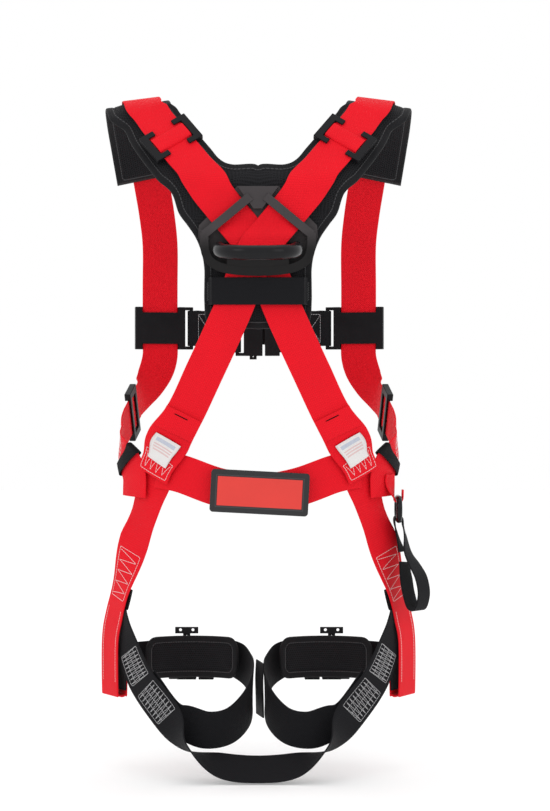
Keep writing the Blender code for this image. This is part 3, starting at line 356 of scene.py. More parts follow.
def lower_back_row(x, z, height):
    """Row on the back of the torso, lifted by a height."""
    x = x * MM
    z = z * MM
    width, depth, square = torso_section(z)
    behind = depth * (1 - abs(x / width) ** square) ** (1 / square)
    point = np.array((x, torso_lean(z)[0] - behind, z))
    return row(point, on_torso(point, np.array(1.0)) - point, height)


def padded_rows():
    """Rows of the right shoulder strap from the front of the shoulder down to the yoke's panel."""
    top = [
        (135, 74, 312, 0.2, 0.78, 0.55, ON_PAD),
        (140, 42, 350, 0.2, 0.55, 0.8, ON_PAD),
        (142.5, 2, 377, 0.2, 0.2, 0.96, ON_PAD),
        (141, -36, 388, 0.1, -0.25, 0.95, ON_PAD + 0.5 * GAP),
    ]
    return top + [back_row(z) for z in (374, 358, 337, 316, 300)]


def shoulder_route():
    """Right shoulder strap, from its sewn end at the hip to the opposite hip."""
    sewn = [
        lower_back_row(145, -57, 2 * LAYER),
        lower_back_row(147.6, -46.6, 2 * LAYER),
        lower_back_row(152, -35, 2 * LAYER),
        lower_back_row(156.5, -24.5, 2 * LAYER),
        (162, -25, -12, 0.97, -0.24, 0, 1.5 * LAYER),
        (163.5, -8, -4, 0.995, 0.02, 0, 0.5 * LAYER),
    ]
    side = [side_row(distance) for distance in (37, 30, 0, -32, -40)]
    turn = [
        (146.5, 93, 45, 0.85, 0.53, 0, 0.0),
        (138, 102.5, 58, 0.6, 0.8, 0, 0.0),
        (130, 106.2, 75, 0.3, 0.95, 0, 0.0),
    ]
    front = [(FRONT_X, FRONT_Y, z, *FRONT_NORMAL, 0.0) for z in (92, 112, 135, 180, 232)]
    rise = [(129, 97, 270, 0.2, 0.94, 0.28, 0.6 * ON_PAD)]
    back = [back_row(z) for z in (280, 262, 246, 230, CROSSING)]
    low = [
        lower_back_row(-7, 196, ON_PLATE),
        lower_back_row(-15, 178, ON_PLATE),
        lower_back_row(-27, 146, ON_PLATE),
        lower_back_row(-42, 112, ON_PLATE),
        lower_back_row(-63, 67, ON_PAD),
        lower_back_row(-86, 18, 3 * LAYER),
        lower_back_row(-101, -12, 3 * LAYER),
        lower_back_row(-113, -36, 3 * LAYER),
        lower_back_row(-121, -54, 3 * LAYER),
    ]
    return sewn + side + turn + front + rise + padded_rows() + back + low


def strap_point(z):
    """Where the right shoulder strap's middle lies on the back, and its frame there."""
    rows = np.array([back_row(z / MM), back_row(z / MM + 1)])[:, :3] * MM
    height = np.full(2, ON_PLATE + WEB_THICK / 2)
    spot, step = on_torso(rows, height)
    normal = spot - on_torso(rows, 0 * height)[0]
    return Vector(spot), Vector(step - spot).normalized(), Vector(normal).normalized()


def hip_route():
    """Right hip strap: down from the junction, round its bottom loop and up inside."""
    top = ((102, -8), (107.5, -23.5), (114, -40), (122.5, -62), (132, -85))
    down = [lower_back_row(x, z, 0.0) for x, z in top]
    down += [
        (150, -59, -140, 0.6, -0.8, 0, 0.0),
        (164, -46, -188, *LOOP_NORMAL, 0.0),
        (173, -42, -224, *LOOP_NORMAL, 0.0),
        (178, -40, -255, *LOOP_NORMAL, 0.0),
        (178, -40, -314, *LOOP_NORMAL, 0.0),
    ]
    normal = unit(np.array(LOOP_NORMAL))
    inside = []
    for outer in reversed(down[-2:]):
        point = np.array(outer[:3]) * MM - normal * LEG_LOOP_GAP
        inside.append(row(point, -normal))
    half = LEG_LOOP_GAP / 2
    middle = np.array(down[-1][:3]) * MM - normal * half
    turn = []
    for angle in (45, 90, 135):
        way = normal * math.cos(math.radians(angle)) - np.array((0, 0, math.sin(math.radians(angle))))
        turn.append(row(middle + way * half, way))
    return down + turn + inside


def seat_half_route():
    """Right half of the seat strap, from the hip strap's loop to the middle."""
    inside = -0.42 * LEG_LOOP_GAP
    return [
        (164, -46, -188, *LOOP_NORMAL, inside),
        (170.3, -45, -219, *LOOP_NORMAL, inside),
        (166, -58, -240, *LOOP_NORMAL, inside),
        (156, -70, -262, 0.8, -0.6, 0, 0.5 * inside),
        (137, -80, -300, 0.62, -0.77, -0.15, 0.0),
        (107, -96, -338, 0.42, -0.86, -0.28, 0.0),
        (85, -106, -372, 0.55, -0.3, -0.78, 0.0),
        (44, -108, -393, 0.2, 0.5, -0.82, 0.0),
        (0, -107.5, -398, 0, 0.581, -0.814, 0.0),
    ]


def rear_leg_route():
    """Right leg strap from the seat strap round the inside of the thigh to the tongue."""
    seat = seat_half_route()
    inside = [(x, y, z, nx, ny, nz, -2 * LAYER) for x, y, z, nx, ny, nz, _ in seat[4:6]]
    buckle_x, buckle_y, buckle_z = LEG_BUCKLE
    threaded = []
    for distance in (41.5, 27, 11):
        point = (buckle_x - distance * MM, buckle_y - TONGUE_STRAP_DEPTH, buckle_z)
        threaded.append(row(point, (0, 1, 0)))
    return inside + [
        (84, -90, -348, 0.1, -0.97, -0.2, -LAYER),
        (60, -88, -356, -0.3, -0.94, -0.1, -LAYER),
        (35, -77, -352, -0.6, -0.78, -0.1, 0.0),
        (16, -48, -337, -0.88, -0.45, 0, 0.0),
        (9, -10, -319, -1, 0, 0, 0.0),
        (11, 22, -305, -0.92, 0.4, 0, 0.0),
        (16, 42, -298, -0.85, 0.52, 0, 0.0),
        (23.5, 59, -292.5, -0.6, 0.8, 0, 0.0),
        (32, 67.5, -289, -0.35, 0.94, 0, 0.0),
    ] + threaded


TAIL_NORMAL = (-0.98, -0.2, 0)
LEG_TAIL = (
    (2.5, -4, -350, *TAIL_NORMAL, 0.0),
    (2, -4, -328, *TAIL_NORMAL, 0.0),
    (1.5, -4, -306, *TAIL_NORMAL, 0.0),
    (2.5, -4, -284, *TAIL_NORMAL, 0.0),
)


def loop_rows(centre, out, normal, tail):
    """Rows of a strap's end that comes from a sewn tail, round a bar, and away along out."""
    centre = np.array(centre)
    out = unit(np.array(out, float))
    normal = unit(np.array(normal, float))
    closed = LOOP_RADIUS - GAP
    rows = []
    for distance, rise in ((tail, closed), (LOOP_SEWN, closed), (LOOP_NECK, -0.35 * LOOP_RADIUS)):
        rows.append(row(centre + out * distance + normal * rise, -normal))
    for angle in (-90, -135, 180, 135, 90):
        turn = math.radians(angle)
        way = out * math.cos(turn) + normal * math.sin(turn)
        rows.append(row(centre + way * LOOP_RADIUS, way))
    for distance in (LOOP_SEWN, tail):
        rows.append(row(centre + out * distance + normal * LOOP_RADIUS, normal))
    return rows


# The front leg strap's way from its buckle to the hip strap's loop
LEG_FRONT = [
    (162, 46, -289, 0.88, 0.47, 0, 0.0),
    (177, 18, -290, 0.97, 0.2, 0, 0.0),
    (182.5, -12, -290, 0.94, -0.34, 0, 0.0),
    (170, -37, -290, *LOOP_NORMAL, 0.0),
    (158, -58, -290, *LOOP_NORMAL, 0.0),
]
# Rows of the yoke's panel from its bottom to its neck: a point inside and a point at the edge
YOKE_PANEL = (
    ((0, 118), (52, 121)),
    ((0, 128), (61, 129)),
    ((0, 150), (63, 150)),
    ((0, 185), (63, 170)),
    ((0, 223), (63, 189)),
    ((0, 254), (66, 207)),
    ((0, 285), (73, 225)),
    ((0, 310), (83, 240)),
    ((30, 311), (93, 254)),
)


def turn_rows(centre, first, last):
    """Rows round a rod that lies along Y, from one angle to another (0 is +X, 90 is +Z)."""
    rows = []
    for angle in np.linspace(math.radians(first), math.radians(last), 5):
        way = np.array((math.cos(angle), 0, math.sin(angle)))
        rows.append(row(centre + way * (ACCESSORY_ROD + GAP), way))
    return rows


def hanging_rows(centre, line):
    """Rows at distances x and z, in mm, from a point, with an outward x and z, twisting as they hang."""
    rows = []
    for x, z, nx, nz in line:
        turn = ACCESSORY_TWIST * smoothstep(0, ACCESSORY_TWIST_LENGTH, -z * MM)
        way = np.array((math.cos(turn), -math.sin(turn), 0))
        rows.append(row(centre + way * x * MM + (0, 0, z * MM), way * nx + (0, 0, nz)))
    return rows


# The loop from the rod down, round its bottom and up to its sewn end
ACCESSORY_LINE = (
    (4.7, -7, 1, 0.1),
    (7.5, -20, 1, 0.2),
    (11, -38, 0.95, 0.3),
    (21, -53, 0.7, 0.7),
    (32, -68, 0.85, 0.5),
    (36, -87, 1, 0),
    (31, -104, 0.5, -0.85),
    (22, -103, -0.6, -0.8),
    (15.5, -86, -0.95, -0.25),
    (12, -68, -0.98, 0.1),
    (8.5, -50, -0.97, 0.2),
)


# Looks that a user would change


def tint(name, description, default):
    """Colour that a user can change."""
    return FloatVectorProperty(
        name=name, description=description, subtype="COLOR", size=3, min=0, max=1, default=default)


def measure(name, description, low, high, default):
    """Length that a user can change, between two limits."""
    return FloatProperty(
        name=name, description=description, unit="LENGTH", min=low, max=high, default=default)


class HarnessWebbing(bpy.types.PropertyGroup):
    """Colours and weave of the webbing and its thread."""

    red: tint("Red", "Colour of the torso webbing", (0.72, 0.0015, 0.011))
    black: tint("Black", "Colour of the leg and chest webbing", (0.0075, 0.0075, 0.009))
    thread: tint("Light Thread", "Thread on red webbing", (0.78, 0.62, 0.62))
    thread_grey: tint("Grey Thread", "Thread on black webbing", (0.42, 0.42, 0.43))
    rib_length: measure(
        "Rib Length", "Length of one weave rib along the strap", 0.5 * MM, 10 * MM, 2.6 * MM)
    rib_width: measure(
        "Rib Width", "Width of one weave rib across the strap", 0.5 * MM, 10 * MM, 1.5 * MM)


class HarnessPadding(bpy.types.PropertyGroup):
    """Colours and edge of the padded pieces."""

    mesh: tint("Mesh", "Colour of the spacer mesh", (0.009, 0.009, 0.0105))
    binding: tint("Binding", "Colour of the bound edges", (0.007, 0.007, 0.008))
    binding_width: measure(
        "Binding Width", "Width of the tape sewn round each pad", 3 * MM, 20 * MM, 9.5 * MM)
    cell: measure("Mesh Cell", "Spacing of the holes in the spacer mesh", 1 * MM, 10 * MM, 3 * MM)
    pressure: FloatProperty(
        name="Pressure", description="Push of the foam while the pads settle", min=0, max=20, default=4)


class HarnessFittings(bpy.types.PropertyGroup):
    """Colours and edges of the metal and plastic fittings."""

    coat: tint("Coat", "Colour of the coated metal", (0.005, 0.005, 0.006))
    plate: tint("Plate", "Colour of the moulded back plate", (0.046, 0.04, 0.042))
    edge: measure("Edge", "Rounding of the fittings' edges", 0.1 * MM, 3 * MM, 0.8 * MM)


class HarnessLabels(bpy.types.PropertyGroup):
    """Colours of the pouch and the sewn labels."""

    panel: tint("Panel", "Colour of the pouch's coated panel", (0.66, 0.03, 0.02))
    label: tint("Label", "Colour of the woven labels", (0.8, 0.78, 0.77))
    binding_width: measure("Pouch Binding", "Width of the tape round the pouch", 2 * MM, 20 * MM, 8 * MM)


class HarnessStage(bpy.types.PropertyGroup):
    """Floor, light and camera."""

    floor: tint("Floor", "Colour of the floor", (0.8, 0.8, 0.8))
    light: FloatProperty(
        name="Light", description="Strength of the sky light", min=0, max=10, default=1.0)
    glow: FloatProperty(
        name="Floor Glow", description="Light the floor gives off, so it is as pale as the sky",
        min=0, max=2, default=0.2)
    key: FloatProperty(
        name="Key", description="Power of the large lights", unit="POWER", min=0, max=500, default=10)
    lens: FloatProperty(
        name="Lens", description="Focal length", unit="CAMERA", min=10, max=300, default=98.6)


# Finishes


class Sock:
    """Output socket of a finish. Arithmetic on it adds Math nodes."""

    def __init__(self, finish, socket):
        self.finish = finish
        self.socket = socket

    def math(self, operation, *terms):
        """Math node on the terms."""
        return self.finish.node("ShaderNodeMath", {"operation": operation}, dict(enumerate(terms)))

    def __add__(self, other):
        return self.math("ADD", self, other)

    def __radd__(self, other):
        return self.math("ADD", other, self)

    def __sub__(self, other):
        return self.math("SUBTRACT", self, other)

    def __rsub__(self, other):
        return self.math("SUBTRACT", other, self)

    def __mul__(self, other):
        return self.math("MULTIPLY", self, other)

    def __rmul__(self, other):
        return self.math("MULTIPLY", other, self)

    def __truediv__(self, other):
        return self.math("DIVIDE", self, other)

    def __abs__(self):
        return self.math("ABSOLUTE", self)

    def part(self):
        """What is left of a value above its whole number."""
        return self.math("FRACT", self)

    def whole(self):
        """Whole number below a value."""
        return self.math("FLOOR", self)

    def hump(self):
        """Half a sine wave over the fraction of a value: 0 at whole numbers, 1 between them."""
        return self.math("SINE", self.part() * math.pi)

    def over(self, low, high):
        """0 below low, 1 above high, smooth between."""
        settings = {"interpolation_type": "SMOOTHSTEP"}
        values = {0: self, 1: low, 2: high, 3: 0.0, 4: 1.0}
        return self.finish.node("ShaderNodeMapRange", settings, values)


class Finish:
    """A material whose Principled shader is fed by nodes."""

    def __init__(self, name):
        self.material = bpy.data.materials.new(name)
        self.material.use_nodes = True
        self.tree = self.material.node_tree
        self.shader = self.tree.nodes["Principled BSDF"]

    def put(self, socket, value):
        """Link, number or colour put into a socket."""
        if isinstance(value, Sock):
            self.tree.links.new(value.socket, socket)
        elif isinstance(value, (int, float)):
            socket.default_value = value
        else:
            socket.default_value = (*value, 1.0)[:len(socket.default_value)]

    def node(self, kind, settings, values, output=0):
        """New node: its settings first, then the values or links of its sockets."""
        made = self.tree.nodes.new(kind)
        for key, value in settings.items():
            setattr(made, key, value)
        for key, value in values.items():
            self.put(made.inputs[key], value)
        return Sock(self, made.outputs[output])

    def set(self, **values):
        """Shader sockets set by their names in lower case."""
        for key, value in values.items():
            self.put(self.shader.inputs[key.replace("_", " ").title().replace("Ior", "IOR")], value)

    def place(self):
        """Object coordinates."""
        return self.node("ShaderNodeTexCoord", {}, {}, "Object")

    def attribute(self, name):
        """Value kept at each point of the mesh."""
        return self.node("ShaderNodeAttribute", {"attribute_name": name}, {}, "Fac")

    def uv(self):
        """Length along and offset across a strap or pad, in metres."""
        found = self.node("ShaderNodeUVMap", {"uv_map": "cloth"}, {}, "UV")
        return [self.node("ShaderNodeSeparateXYZ", {}, {0: found}, axis) for axis in "XY"]

    def noise(self, scale, detail=2.0, stretch=(1, 1, 1)):
        """Noise on Object coordinates."""
        place = self.node("ShaderNodeMapping", {}, {"Vector": self.place(), "Scale": stretch})
        values = {"Vector": place, "Scale": scale, "Detail": detail}
        return self.node("ShaderNodeTexNoise", {}, values, "Fac")

    def mix(self, share, first, second):
        """Colour between two colours."""
        values = {0: share, 6: first, 7: second}
        return self.node("ShaderNodeMix", {"data_type": "RGBA"}, values, 2)

    def bump(self, height, distance, strength=1.0):
        """Relief of the surface."""
        values = {"Height": height, "Distance": distance, "Strength": strength}
        self.set(normal=self.node("ShaderNodeBump", {}, values))


def shaded(colour, factor):
    """Colour made darker or lighter."""
    return tuple(channel * factor for channel in colour)


FINISHES = {}


def finish_of(name, make, *values):
    """Material made once by a function and kept under a name."""
    if name not in FINISHES:
        FINISHES[name] = make(name, *values)
    return FINISHES[name]


def woven(name, colour, look, shine):
    """Webbing: offset ribs along the strap with painted light and shade on them, a tight selvedge, faint
    fading.
    """
    made = Finish(name)
    along, across = made.uv()
    margin = made.attribute("margin")
    rib = across / look.rib_width
    weave = (along / look.rib_length + rib.whole() * 0.5).hump() * rib.hump()
    selvedge = 1 - margin.over(0.8 * MM, 2.2 * MM)
    cord = (along / (0.6 * look.rib_length)).hump()
    relief = weave * (1 - selvedge) + 0.6 * cord * selvedge
    fade = made.noise(22.0, 3.0)
    fleck = made.noise(900.0, 2.0)
    # Painted light and shade of the weave relief: rib crests lighter, gaps between ribs darker. Fade and
    # fleck add random tone.
    light = 0.62 + 0.36 * relief + 0.22 * (fade - 0.5) + 0.25 * (fleck - 0.5)
    rib_shade_and_tone = made.mix(light, shaded(colour, 0.45), shaded(colour, 1.2))
    made.set(base_color=rib_shade_and_tone, roughness=0.78 - 0.14 * relief + 0.1 * (fleck - 0.5))
    made.set(sheen_weight=0.02, sheen_roughness=0.45, specular_ior_level=shine)
    made.bump(relief + 0.3 * fleck, 0.35 * MM, 0.7)
    return made.material


def thread_finish(name, colour, soft=0.3):
    """Twisted thread: fine slanting twist lines and a soft shine."""
    made = Finish(name)
    fleck = made.noise(1500.0, 1.0)
    made.set(base_color=made.mix(fleck, shaded(colour, 0.75), shaded(colour, 1.15)))
    made.set(roughness=0.5 + 0.2 * fleck, sheen_weight=soft, specular_ior_level=soft)
    made.bump(fleck, 0.1 * MM, 0.5)
    return made.material


def padded_finish(name, look):
    """Spacer mesh inside a bound edge: round holes on a staggered grid with painted shade in them, a tape
    with ribs painted lighter on their crests, a seam.
    """
    made = Finish(name)
    along, across = made.uv()
    edge = made.attribute("edge")
    width = look.binding_width
    line = across / (0.866 * look.cell)
    hole = (along / look.cell + line.whole() * 0.5).hump() * line.hump()
    tape = 1 - edge.over(width - 0.3 * MM, width + 0.3 * MM)
    rib = (edge / (0.9 * MM)).hump()
    seam = 1 - abs(edge - (width - 1.8 * MM)).over(0.35 * MM, 0.7 * MM)
    dash = (along / (3.4 * MM)).hump().over(0.25, 0.45) * seam
    fade = made.noise(30.0, 3.0)
    # Painted shade: the holes darker than the mesh between them.
    mesh = made.mix(hole, shaded(look.mesh, 1.5), shaded(look.mesh, 0.35))
    # Painted light and shade on the tape's ribs: crests lighter, grooves darker.
    cloth = made.mix(tape, mesh, made.mix(rib, shaded(look.binding, 0.8), shaded(look.binding, 1.5)))
    cloth = made.mix(0.8 * dash, cloth, (0.09, 0.09, 0.095))
    made.set(base_color=made.mix(0.2 * fade, cloth, (0.018, 0.018, 0.02)))
    made.set(roughness=0.72 + 0.2 * hole - 0.1 * tape, sheen_weight=0.05, sheen_roughness=0.4)
    made.set(specular_ior_level=0.15)
    made.bump((1 - hole) * (1 - tape) + tape * (0.4 * rib - 0.5 * seam + dash), 0.5 * MM, 0.8)
    return made.material


def plate_finish(name, colour):
    """Moulded plastic with painted shade below the ring's bar, where the ring shades the plate's lower
    lobe.
    """
    made = Finish(name)
    grain = made.noise(1400.0, 3.0)
    flow = made.noise(28.0, 2.0)
    height = made.node("ShaderNodeSeparateXYZ", {}, {0: made.place()}, "Z")
    light = made.mix(0.7 * flow + 0.3 * grain, shaded(colour, 0.8), shaded(colour, 1.2))
    # Painted shade: a nearly black copy of the plate colour, blended in below the ring's bar by height.
    painted_shade = made.mix(grain, shaded(colour, 0.08), shaded(colour, 0.14))
    made.set(base_color=made.mix(height.over(BAR_Z - 8 * MM, BAR_Z + 22 * MM), painted_shade, light))
    made.set(roughness=0.45 + 0.16 * grain, specular_ior_level=0.22)
    made.bump(grain, 0.08 * MM, 0.6)
    return made.material


def coated(name, colour, roughness, coat):
    """Coated metal: orange-peel skin, rubbed patches and hairline scratches."""
    made = Finish(name)
    peel = made.noise(700.0, 1.0)
    rub = made.noise(60.0, 4.0)
    hair = made.noise(260.0, 2.0, (1.0, 9.0, 1.0)).over(0.66, 0.74)
    made.set(base_color=made.mix(0.5 * rub + 0.2 * hair, colour, shaded(colour, 2.4)))
    made.set(roughness=roughness + 0.16 * (rub - 0.5) + 0.12 * hair, metallic=0.1)
    made.set(coat_weight=coat, coat_roughness=0.12, specular_ior_level=0.17)
    made.bump(peel, 0.05 * MM, 0.5)
    return made.material


def steel(name):
    """Drawn spring wire: bright with fine draw lines."""
    made = Finish(name)
    draw = made.noise(900.0, 2.0, (1.0, 1.0, 6.0))
    made.set(base_color=made.mix(draw, (0.32, 0.32, 0.33), (0.62, 0.62, 0.63)))
    made.set(roughness=0.25 + 0.15 * draw, metallic=1.0)
    return made.material


def pouch_finish(name, look):
    """Coated panel with a fine grain inside a ribbed black tape, the ribs painted lighter on their crests.
    """
    made = Finish(name)
    edge = made.attribute("edge")
    width = look.binding_width
    tape = 1 - edge.over(width - 0.25 * MM, width + 0.25 * MM)
    rib = (edge / (0.9 * MM)).hump()
    seam = 1 - abs(edge - (width - 1.6 * MM)).over(0.3 * MM, 0.6 * MM)
    grain = made.noise(1100.0, 2.0)
    fade = made.noise(35.0, 3.0)
    panel = made.mix(0.4 + 0.4 * fade + 0.2 * grain, shaded(look.panel, 0.75), shaded(look.panel, 1.15))
    # Painted light and shade on the tape's ribs: crests lighter, grooves darker.
    cloth = made.mix(rib, (0.009, 0.009, 0.01), (0.022, 0.022, 0.024))
    cloth = made.mix(0.6 * seam, cloth, (0.06, 0.06, 0.065))
    made.set(base_color=made.mix(tape, panel, cloth), roughness=0.42 + 0.3 * tape + 0.1 * grain)
    made.bump(0.25 * grain * (1 - tape) + tape * (0.5 * rib - 0.4 * seam), 0.3 * MM, 0.6)
    return made.material


def label_finish(name, look):
    """Woven label: fine satin lines with a soft bar and thin lines across it, and painted light and shade
    on its weave and folded edge.
    """
    made = Finish(name)
    along, across = made.uv()
    margin = made.attribute("margin")
    weave = (along / (0.5 * MM)).hump() * (across / (0.4 * MM)).hump()
    fold = 1 - margin.over(0.6 * MM, 1.4 * MM)
    inside = margin.over(3.4 * MM, 3.8 * MM)
    fade = made.noise(80.0, 3.0)
    bar = abs(along - 7.5 * MM)
    blue = (1 - bar.over(2.8 * MM, 3.1 * MM)) * inside
    stripe = (along / (4 * MM)).part().over(0.45, 0.5) * along.over(12 * MM, 12.4 * MM)
    rose = stripe * (1 - along.over(25 * MM, 25.4 * MM)) * inside
    # Painted light and shade of the satin weave: raised threads lighter. Fade adds random tone.
    paper = made.mix(0.6 * weave + 0.4 * fade, shaded(look.label, 0.82), look.label)
    paper = made.mix(0.45 * blue, paper, (0.2, 0.3, 0.5))
    paper = made.mix(0.4 * rose, paper, (0.6, 0.16, 0.16))
    # Painted shade: the folded edge greyed where it turns away from the light.
    made.set(base_color=made.mix(0.4 * fold, paper, (0.45, 0.44, 0.43)), roughness=0.6 + 0.1 * weave)
    made.bump(weave, 0.08 * MM, 0.5)
    return made.material


def paper(name, look):
    """Pages: faint fibres."""
    made = Finish(name)
    fibre = made.noise(500.0, 4.0)
    made.set(base_color=made.mix(fibre, shaded(look.label, 0.8), look.label), roughness=0.8 + 0.1 * fibre)
    made.bump(fibre, 0.05 * MM, 0.4)
    return made.material


def red_cloth(look):
    """Webbing of the torso."""
    return finish_of("webbing_red", woven, look.red, look, 0.2)


def black_cloth(look):
    """Webbing of the legs, seat and chest."""
    return finish_of("webbing_black", woven, look.black, look, 0.12)


def light_thread(look):
    """Thread on red webbing."""
    return finish_of("thread_light", thread_finish, look.thread)


def grey_thread(look):
    """Thread on black webbing."""
    return finish_of("thread_grey", thread_finish, look.thread_grey)


def glossy_coat(look):
    """Coat of the rings, which are smoother than the other fittings."""
    return finish_of("glossy_coat", coated, look.coat, 0.24, 0.07)


# Meshes


def put_mesh(name, points, quads, finish, caps=(), uv=None, values=None):
    """New object from points, quad rows and end faces, with a UV and named values at each point."""
    mesh = bpy.data.meshes.new(name)
    mesh.from_pydata(points.tolist(), [], quads.tolist() + [list(cap) for cap in caps])
    work = bmesh.new()
    work.from_mesh(mesh)
    bmesh.ops.recalc_face_normals(work, faces=work.faces)
    work.to_mesh(mesh)
    work.free()
    corner = np.empty(len(mesh.loops), np.int32)
    mesh.loops.foreach_get("vertex_index", corner)
    if uv is not None:
        layer = mesh.uv_layers.new(name="cloth")
        layer.data.foreach_set("uv", uv[corner].astype(np.float32).ravel())
    for key, value in (values or {}).items():
        layer = mesh.attributes.new(key, "FLOAT", "POINT")
        layer.data.foreach_set("value", value.astype(np.float32))
    mesh.shade_smooth()
    mesh.set_sharp_from_angle(angle=CLOTH_SHARP_ANGLE)
    mesh.materials.append(finish)
    made = bpy.data.objects.new(name, mesh)
    bpy.context.scene.collection.objects.link(made)
    return made


def settle(made, body, slot, *nodes):
    """Piece put on its body, with the frame's nodes it stands for hidden. The slot is not used."""
    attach(made, body)
    if nodes:
        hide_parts(*nodes)
    return made


def grid_quads(rows, columns, wrap):
    """Quads of a grid of points. Wrap joins its last column to its first."""
    index = np.arange(rows * columns).reshape(rows, columns)
    if wrap:
        index = np.concatenate([index, index[:, :1]], axis=1)
    corners = (index[:-1, :-1], index[1:, :-1], index[1:, 1:], index[:-1, 1:])
    return np.stack(corners, axis=-1).reshape(-1, 4)


def end_caps(rows, columns):
    """Faces that close the first and the last ring of a grid."""
    return range(columns), range((rows - 1) * columns, rows * columns)


def two_skins(rows, columns):
    """Quads of an upper grid of rings and of a lower one that faces the other way."""
    quads = grid_quads(rows, columns, True)
    return np.concatenate([quads, quads[:, ::-1] + rows * columns])


def weld(made, distance=0.02 * MM):
    """Coincident points merged and loose ones dropped."""
    work = bmesh.new()
    work.from_mesh(made.data)
    bmesh.ops.remove_doubles(work, verts=work.verts, dist=distance)
    bmesh.ops.recalc_face_normals(work, faces=work.faces)
    work.to_mesh(made.data)
    work.free()


def strap_grid(route, offsets, lifts, steps, bump=False, hug=True, over=0.0, upright=False):
    """Points beside a route: each outline point has an offset across it and a lift above it."""
    centre, _, across, normal, height = stations(route, steps, upright)
    grid = centre[:, None] + across[:, None] * offsets[None, :, None]
    height = (height + over * over_crossing(centre))[:, None] + lifts[None, :]
    free = grid + normal[:, None] * height[..., None]
    if not hug:
        return free
    share = hugs_torso(centre)[:, None, None]
    extra = bar_bump(grid) if bump else 0.0
    return share * on_torso(grid, height + extra) + (1 - share) * free


def band_outline(width, thick):
    """Closed outline of a band: flat faces joined by half-round edges, as offsets and lifts."""
    radius = thick / 2
    flat = np.linspace(-1, 1, 11) * (width / 2 - radius)
    turn = np.linspace(-0.5 * math.pi, 0.5 * math.pi, 7)[1:-1]
    edge = flat[-1] + radius * np.cos(turn)
    rise = radius + radius * np.sin(turn)
    offsets = np.concatenate([flat, edge, flat[::-1], -edge[::-1]])
    lifts = np.concatenate([0 * flat, rise, 0 * flat + thick, rise[::-1]])
    return offsets, lifts


class Surface:
    """Outer face of a strap, read at a length along it and an offset across it."""

    def __init__(self, points, width):
        self.points = points
        self.along = run(points[:, points.shape[1] // 2])
        self.across = np.linspace(-width / 2, width / 2, points.shape[1])
        down = np.gradient(points, axis=0)
        side = np.gradient(points, axis=1)
        self.normals = unit(np.cross(side, down))

    def length(self):
        """Length of the strap's middle line."""
        return self.along[-1]

    def at_height(self, z, last=False):
        """Length along the strap where its middle first, or last, passes a height."""
        line = self.points[:, self.points.shape[1] // 2, 2]
        cut = np.nonzero((line[:-1] - z) * (line[1:] - z) <= 0)[0]
        return self.along[cut[-1 if last else 0]]

    def at(self, along, across):
        """Points and normals by linear interpolation in both directions."""
        i = np.clip(np.searchsorted(self.along, along) - 1, 0, len(self.along) - 2)
        j = np.clip(np.searchsorted(self.across, across) - 1, 0, len(self.across) - 2)
        f = ((along - self.along[i]) / (self.along[i + 1] - self.along[i]))[..., None]
        g = ((across - self.across[j]) / (self.across[j + 1] - self.across[j]))[..., None]

        def read(rows):
            """Rows read between the four points round each place."""
            low = rows[i, j] * (1 - f) + rows[i + 1, j] * f
            return low * (1 - g) + (rows[i, j + 1] * (1 - f) + rows[i + 1, j + 1] * f) * g

        return read(self.points), unit(read(self.normals))


def webbing(name, node, route, finish, slot, width=WEB_WIDTH, thick=WEB_THICK, steps=8, **how):
    """Band carried along a route. Its UV is the length along and the offset across, in metres."""
    offsets, lifts = band_outline(width, thick)
    grid = strap_grid(route, offsets, lifts, steps, **how)
    flat = np.linspace(-width / 2, width / 2, 9)
    face = Surface(strap_grid(route, flat, np.full(9, thick), steps, **how), width)
    rows, columns = grid.shape[:2]
    across = np.tile(offsets, rows)
    uv = np.stack([np.repeat(face.along, columns), across], axis=1)
    made = put_mesh(
        name, grid.reshape(-1, 3), grid_quads(rows, columns, True), finish, end_caps(rows, columns), uv,
        {"margin": width / 2 - np.abs(across)})
    settle(made, BODY_OF[node], slot, node)
    return face


# Stitching: a line is rows of a length along a strap and an offset across it


def straight(s0, v0, s1, v1):
    """Line from one place on a strap to another."""
    return np.array([(s0, v0), (s1, v1)])


def box_line(s0, s1, reach):
    """Rectangle between two lengths, as far to each side as it reaches."""
    return np.array([(s0, -reach), (s1, -reach), (s1, reach), (s0, reach), (s0, -reach)])


def zigzag(s0, s1, reach, count):
    """Line that runs from side to side while it goes along, count times."""
    s = np.linspace(s0, s1, 2 * count + 1)
    return np.stack([s, np.where(np.arange(len(s)) % 2, reach, -reach)], axis=1)


def crosswise(s0, s1, reach, count):
    """Line that runs to and fro along the strap while it goes across, count times."""
    v = np.linspace(-reach, reach, 2 * count + 1)
    return np.stack([np.where(np.arange(len(v)) % 2, s1, s0), v], axis=1)


